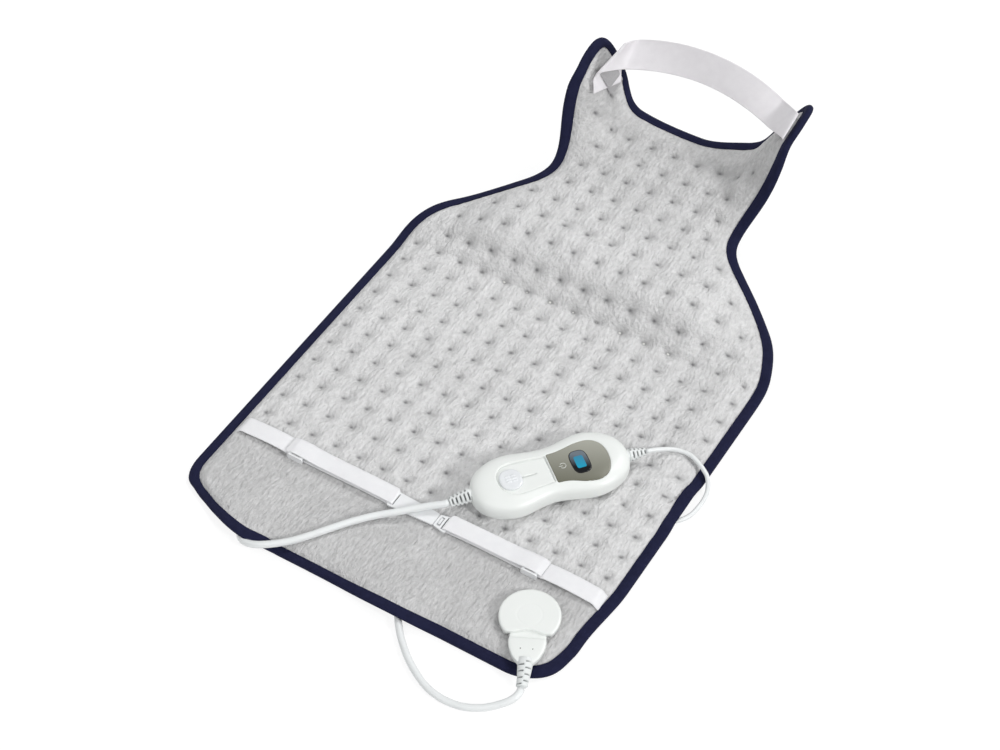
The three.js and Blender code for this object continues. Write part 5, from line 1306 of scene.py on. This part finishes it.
def down_the_panel(v, middle, half_run):
    """0 to 1 down a place on the panel, along the fall of its gleam, on object coordinates."""
    place = v.node("TexCoord", output=3)
    x, y = (v.node("SeparateXYZ", (), {0: place}, output=n) for n in (0, 1))
    spot = in_frame(on_controller((middle, 0, 0)))
    start = gleam_x * float(spot[0]) + gleam_y * float(spot[1])
    run = (x * gleam_x + y * gleam_y - start) * (1 / (2 * half_run * mm))
    return v.node("Clamp", (), {0: run + 0.5})


# Painted gleam: the olive panel's colour is paler at its far end and darker down the fall of the gleam
# towards the near end.
panel_plastic = finish(
    "olive_panel",
    Base_Color=lambda v: down_the_panel(v, 30, 24).between((0.36, 0.36, 0.31), (0.115, 0.115, 0.08)),
    Roughness=0.35,
    Metallic=0.1,
    Normal=lambda v: v.noise(2200, 2).bump(0.00001),
    Coat_Weight=0.2,
)
panel_insets = (0, 0.12, 0.35, 0.8)
panel = relief_plate(
    "olive_panel", [panel_ring(-d) for d in panel_insets],
    [on_dome(panel_ring(-d), drop) for d, drop in zip(panel_insets, (0.3, 0.08, 0.0, 0.0))],
    2.0, dome, panel_floor, on_controller,
)
wear(panel, panel_plastic)
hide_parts("display_panel")
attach(panel, "pad")

window_middle, window_aside, window_insets = 27.8, -1.6, (0, 0.1, 0.35, 0.9)
window_rings = [
    oval_ring(window_middle, window_aside, 8.7 - d, 13.2 - d, 3.2) for d in window_insets
]
window = relief_plate(
    "display_window_glass", window_rings, [22.02, 22.22, 22.36, 22.42], 1.5,
    flat_at(22.45), 21.6, on_controller,
)


def glass_colour(v):
    """Black, with a blue-grey gleam towards the window's far side."""
    return down_the_panel(v, 26, 7).between((0.15, 0.18, 0.21), (0.002, 0.003, 0.005))


window_glass = finish("window_glass", Base_Color=glass_colour, Roughness=0.1, Specular_IOR_Level=0.15)
window_frame = finish(
    "window_frame", Base_Color=(0.004, 0.004, 0.005), Roughness=0.25, Specular_IOR_Level=0.3
)
wear(window, window_frame)
pane = relief_plate(
    "display_window_pane",
    [oval_ring(window_middle, window_aside, 7.9 - d, 12.4 - d, 3.2) for d in (0, 0.2)], [22.46, 22.48],
    1.5, flat_at(22.48), 22.4, on_controller,
)
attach(wear(pane, window_glass), "pad")
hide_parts("display_window")
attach(window, "pad")
screen = relief_plate(
    "display_screen",
    [oval_ring(window_middle - 0.2, window_aside - 0.4, 4.4 - d, 6.9 - d, 7) for d in (0, 0.1)],
    [22.5, 22.54], 1.5, flat_at(22.54), 22.45, on_controller,
)
screen_blue = finish(
    "screen_blue",
    Base_Color=(0.01, 0.12, 0.2),
    Roughness=0.1,
    Emission_Color=lambda v: down_the_panel(v, 26.5, 7).between((0.05, 0.14, 0.22), (0.0, 0.27, 0.4)),
    Emission_Strength=0.75,
    Specular_IOR_Level=0.15,
)
wear(screen, screen_blue)
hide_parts("display")
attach(screen, "pad")

# The power sign is printed on the panel in pale ink: an open circle and a bar.
ink = finish(
    "pale_ink",
    Base_Color=lambda v: v.noise(900).between((0.62, 0.64, 0.6), (0.74, 0.76, 0.72)),
    Roughness=0.5,
)
sign_x, sign_y, sign_radius, ink_radius = 11.6, -1.0, 2.8, 0.28
sign_turn = np.linspace(math.radians(40), math.radians(320), 41)
ring_line = sign_x - sign_radius * np.cos(sign_turn), sign_y + sign_radius * np.sin(sign_turn)
bar_line = sign_x - np.array([3.8, 2.2, 0.4]), np.full(3, sign_y)
for name, (x, y) in (("power_sign_ring", ring_line), ("power_sign_bar", bar_line)):
    path = np.stack([x, y, dome(x, y) + 0.03], axis=1)
    mark = grid_piece(
        name, on_controller(tube_grid(path, ink_radius, 8)), wrap_columns=True, capped=True
    )
    wear(mark, ink)
    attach(mark, "pad")

# The heat switch's knob: an oval of clear white plastic with two columns of short raised dashes,
# which slides in the track on a foot that reaches into the slot.
knob_at, knob_height = -37.5, 22.62
dash_aside, dash_pitch, dash_height = 2.9, 3.1, 0.7
foot_low, foot_high = 17.2, 21.4


def knob_top(x, y):
    """A nearly flat oval top with two columns of three short raised dashes."""
    dashes = sum(
        np.exp(-(((y - dash_pitch * row) / 0.8) ** 4))
        * np.exp(-(((x - knob_at - dash_aside * column) / 2.1) ** 6))
        for row in (-1, 0, 1) for column in (-1, 1)
    )
    return knob_height + dash_height * dashes


knob = relief_plate(
    "heat_switch_cap",
    [oval_ring(knob_at, 0, 10.5 - d, 11.5 - d, 2.3) for d in (0, 0.1, 0.4, 0.9, 1.6, 2.4)],
    [21.3, 21.7, 22.1, 22.38, 22.54, 22.6], 0.55, knob_top, 20.3, on_controller, margin=0.5,
)
knob_plastic = finish(
    "knob_plastic",
    Base_Color=lambda v: v.noise(90).between((0.74, 0.76, 0.78), (0.82, 0.84, 0.86)),
    Roughness=0.22,
    Coat_Weight=0.3,
)
wear(knob, knob_plastic)
foot_corners = ((-1, -1), (1, -1), (1, 1), (-1, 1))
foot_grid = np.array([
    [(knob_at + 2 * a, 0.6 * b, z) for a, b in foot_corners] for z in (foot_low, foot_high)
])
foot = grid_piece("heat_switch_foot", on_controller(foot_grid), wrap_columns=True, capped=True)
wear(foot, knob_plastic)
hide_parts("heat_switch_knob")
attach(knob, "heat_switch_knob")
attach(foot, "heat_switch_knob")


# Strain reliefs: soft tapering sleeves with staggered slits, moulded round the cord's end.
def rubber_colour(v):
    """Off-white, with painted shade in dark grey down in the slits."""
    white = v.noise(70).between((0.72, 0.745, 0.74), (0.79, 0.81, 0.805))
    return white.darkened(v.attribute("slit_painted_shade") * 0.9, (0.16, 0.17, 0.17))


relief_rubber = finish(
    "relief_rubber",
    Base_Color=rubber_colour,
    Roughness=0.38,
    Normal=lambda v: v.noise(1100, 2).bump(0.00002),
)
slit_half, slit_edge, slit_depth = 0.55, 0.3, 2.6
relief_start, relief_middle = 66.5, 12.12


def strain_relief(name, length, start, end, slits, neck, place, flat=1.0, bow=0.0, neck_length=9.2):
    """A tapered sleeve along x with slits in four columns, staggered in turn. It bows aside."""
    rows = np.linspace(0, length, int(length / 0.28))
    turn = np.linspace(0, 2 * np.pi, 65)[:-1]
    x, angle = np.meshgrid(rows, turn, indexing="ij")
    taper = start + (end - start) * ease((x - neck_length) / (length - neck_length))
    shoulder = ease((x - neck_length + 1.2) / 1.2)
    radius = neck + (taper - neck) * shoulder
    depth = np.zeros_like(radius)
    pitch = (length - neck_length) / slits
    for k in range(slits):
        middle = neck_length + (k + 0.5) * pitch
        for half in (0, 1):
            centre = middle + (half - 0.5) * pitch * 0.5
            across = np.sin(2 * angle) * (1 - 2 * half)
            cut = (1 - ramp(np.abs(x - centre), slit_half, slit_edge)) * ramp(across, 0.15, 0.2)
            depth = np.maximum(depth, cut)
    radius = radius - slit_depth * depth
    radius = radius * (1 - 0.12 * ease((x - length + 0.7) / 0.7))
    aside = bow * np.maximum((x - neck_length) / (length - neck_length + 9), 0) ** 2 * 1.3
    grid = np.stack([x, radius * np.cos(angle) + aside, flat * radius * np.sin(angle)], axis=-1)
    piece = grid_piece(name, place(grid), wrap_columns=True, capped=True)
    # The slits' depth also says where the colour gets its painted shade.
    keep_values(piece, "slit_painted_shade", depth.ravel())
    return wear(piece, relief_rubber)


def tilted(grid, degrees):
    """A grid along x, tilted down from its start."""
    a = math.radians(degrees)
    x, y, z = np.moveaxis(grid, -1, 0)
    return np.stack([x * math.cos(a) + z * math.sin(a), y, z * math.cos(a) - x * math.sin(a)], axis=-1)


def relief_place(side, y, tilt):
    """Where a relief leaves the controller: tilted down a little from a collar at its end."""
    start = (side * relief_start, y, relief_middle)
    return lambda grid: on_controller(start + tilted(grid, tilt) * (side, side, 1))


cable_relief = strain_relief("cable_relief", 28.1, 7, 5, 5, 5.6, relief_place(-1, 3.5, 7.5))
lead_relief = strain_relief("lead_relief", 24.9, 6, 3.8, 4, 4.8, relief_place(1, -1.7, 4.2))
for relief, node in ((cable_relief, "control_cable_relief"), (lead_relief, "mains_lead_relief")):
    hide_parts(node)
    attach(relief, "pad")

# The connector: a round white socket riveted through the pad's corner, with a ledge behind a
# waved lip, and the cable's flat plug in it.
connector_middle, connector_turn = (146, 58.4, 0), -63.9


def on_connector(points):
    return in_group(points, connector_middle, connector_turn)


cap_radius, cap_low, cap_shoulder, cap_rounding, cap_crown, cap_middle = 27, 11.8, 16.3, 0.9, 0.3, 6
lip_middle, lip_wave, lip_half = 22.6, 1.5, 15


def lip_at(y):
    """Where the waved lip runs across the cap: a hump in the middle between two dips."""
    return lip_middle - lip_wave * np.cos(np.pi * np.minimum(np.abs(y), lip_half) / lip_half)


def cap_ring(inset_by):
    """The cap's outline: a circle that the waved lip cuts off over the plug."""
    turn = np.linspace(0, 2 * np.pi, 721)[:-1]
    radius = cap_radius - inset_by
    x, y = cap_middle + radius * np.cos(turn), radius * np.sin(turn)
    edge = lip_at(y) - inset_by * 0.7
    return even_ring(np.stack([np.minimum(x, edge), y], axis=1), 1.0)


def cap_top(x, y):
    """The cap: rounded at its rim and very slightly crowned, with one faint ring."""
    out = np.hypot(x - cap_middle, y)
    share = np.clip(np.minimum(cap_radius - out, (lip_at(y) - x) / 0.7) / 1.8, 0, 1)
    ring = np.exp(-(((out - 11) / 0.45) ** 2)) * (x < 17)
    crown = cap_crown * (1 - out / cap_radius)
    return cap_shoulder + cap_rounding * (1 - (1 - share) ** 2.4) + crown - 0.2 * ring


cap_insets = (0, 0.08, 0.25, 0.6, 1.1, 1.8)
cap_rings = [cap_ring(d) for d in cap_insets]
cap_heights = [cap_top(r[:, 0], r[:, 1]) for r in cap_rings]
cap = relief_plate(
    "socket_cap_plate", cap_rings, cap_heights, 0.8, cap_top, cap_low, on_connector, margin=0.6
)
wear(cap, shell_plastic)
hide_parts("socket_cap")
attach(cap, "pad")
plug = loft_piece(
    "pad_plug_body",
    [
        (18, 15.6, 1.7, 13.0), (28.6, 15.9, 1.7, 13.0), (29.1, 16.1, 2.6, 13.2), (33.5, 16.3, 2.9, 13.4),
        (39.6, 15.2, 3.0, 13.4), (46.6, 12.4, 3.0, 13.3), (50, 10.2, 2.95, 13.3), (52.4, 8.2, 2.9, 13.3),
        (53.6, 7.1, 2.6, 13.3),
    ],
    0.3, on_connector, sides=88, step=0.7,
)
wear(plug, shell_plastic)
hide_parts("pad_plug")
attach(plug, "pad_plug")
tongue = loft_piece(
    "pad_plug_tongue", [(x, 12, 1.4, 13.2) for x in (5, 12, 19)], 0.15, on_connector, sides=40, step=4,
)
wear(tongue, shell_plastic)
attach(tongue, "pad_plug")
plug_neck, plug_end, plug_end_height, plug_tilt = 2.5, 52, 13.8, 5


def plug_relief_place(grid):
    """The plug's relief, tilted down a little from the plug's end."""
    start = (plug_end, 0, plug_end_height)
    return on_connector(start + tilted(grid - (plug_neck, 0, 0), plug_tilt))


plug_relief = strain_relief(
    "plug_relief", 26.5, 6.6, 5.0, 4, 6.4, plug_relief_place, flat=0.74, bow=-1.6, neck_length=plug_neck
)
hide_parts("pad_plug_relief")
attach(plug_relief, "pad_plug")
# Painted shade: the plug's two dimples are drawn as small black dots for the shade down in them.
dimple_x, dimple_aside, dimple_radius = 40.5, 5.3, 0.5
for number, side in ((1, -1), (2, 1)):
    path = np.array([(dimple_x, side * dimple_aside, z) for z in (16.2, 16.3, 16.47)])
    dimple = grid_piece(
        f"pad_plug_dimple_{number}",
        on_connector(tube_grid(path, dimple_radius, 16, (1, 0, 0))), wrap_columns=True, capped=True,
    )
    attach(wear(dimple, window_frame), "pad_plug")

# What lies inside or underneath keeps its solid and gets its own finish: wadding, wire,
# carrier, board, screws, pins and the like.
def inner_finish(name, scale, dark, light, roughness):
    """A plain material in two close colours, for what the covers and shells hide."""
    return finish(name, Base_Color=lambda v: v.noise(scale, 3).between(dark, light), Roughness=roughness)


inner_finishes = {
    "wadding": finish(
        "white_wadding", Base_Color=lambda v: v.noise(200, 4).between((0.78, 0.78, 0.74), (0.9, 0.9, 0.87)),
        Roughness=1.0, Normal=lambda v: v.noise(300, 4).bump(0.0006),
    ),
    "wire_carrier": inner_finish("carrier_cloth", 200, (0.7, 0.66, 0.55), (0.8, 0.76, 0.65), 0.95),
    "heating_wire": inner_finish("wire_insulation", 300, (0.4, 0.06, 0.02), (0.5, 0.1, 0.04), 0.5),
    "circuit_board": inner_finish("green_board", 500, (0.01, 0.12, 0.04), (0.02, 0.17, 0.06), 0.4),
}
dark_inner = inner_finish("dark_inner", 150, (0.02, 0.02, 0.022), (0.035, 0.035, 0.038), 0.45)
steel_inner, brass_inner = (
    finish(name, Base_Color=colour, Metallic=1.0, Roughness=lambda v: v.noise(600) * 0.2 + 0.25)
    for name, colour in (("steel", (0.6, 0.6, 0.6)), ("brass", (0.72, 0.5, 0.2)))
)
for name, material in inner_finishes.items():
    wear(nodes[name], material)
for name, node in nodes.items():
    if name.startswith(("socket_pin", "fuse")):
        wear(node, brass_inner)
    elif name.startswith("shell_screw"):
        wear(node, steel_inner)
    elif name == "heat_switch" or name.startswith(("overheat", "relay", "display_holder")):
        wear(node, dark_inner)
    elif name.startswith("feed_lead"):
        wear(node, sheath)
    elif name.startswith("socket_base"):
        wear(softened(node, 0.3), shell_plastic)
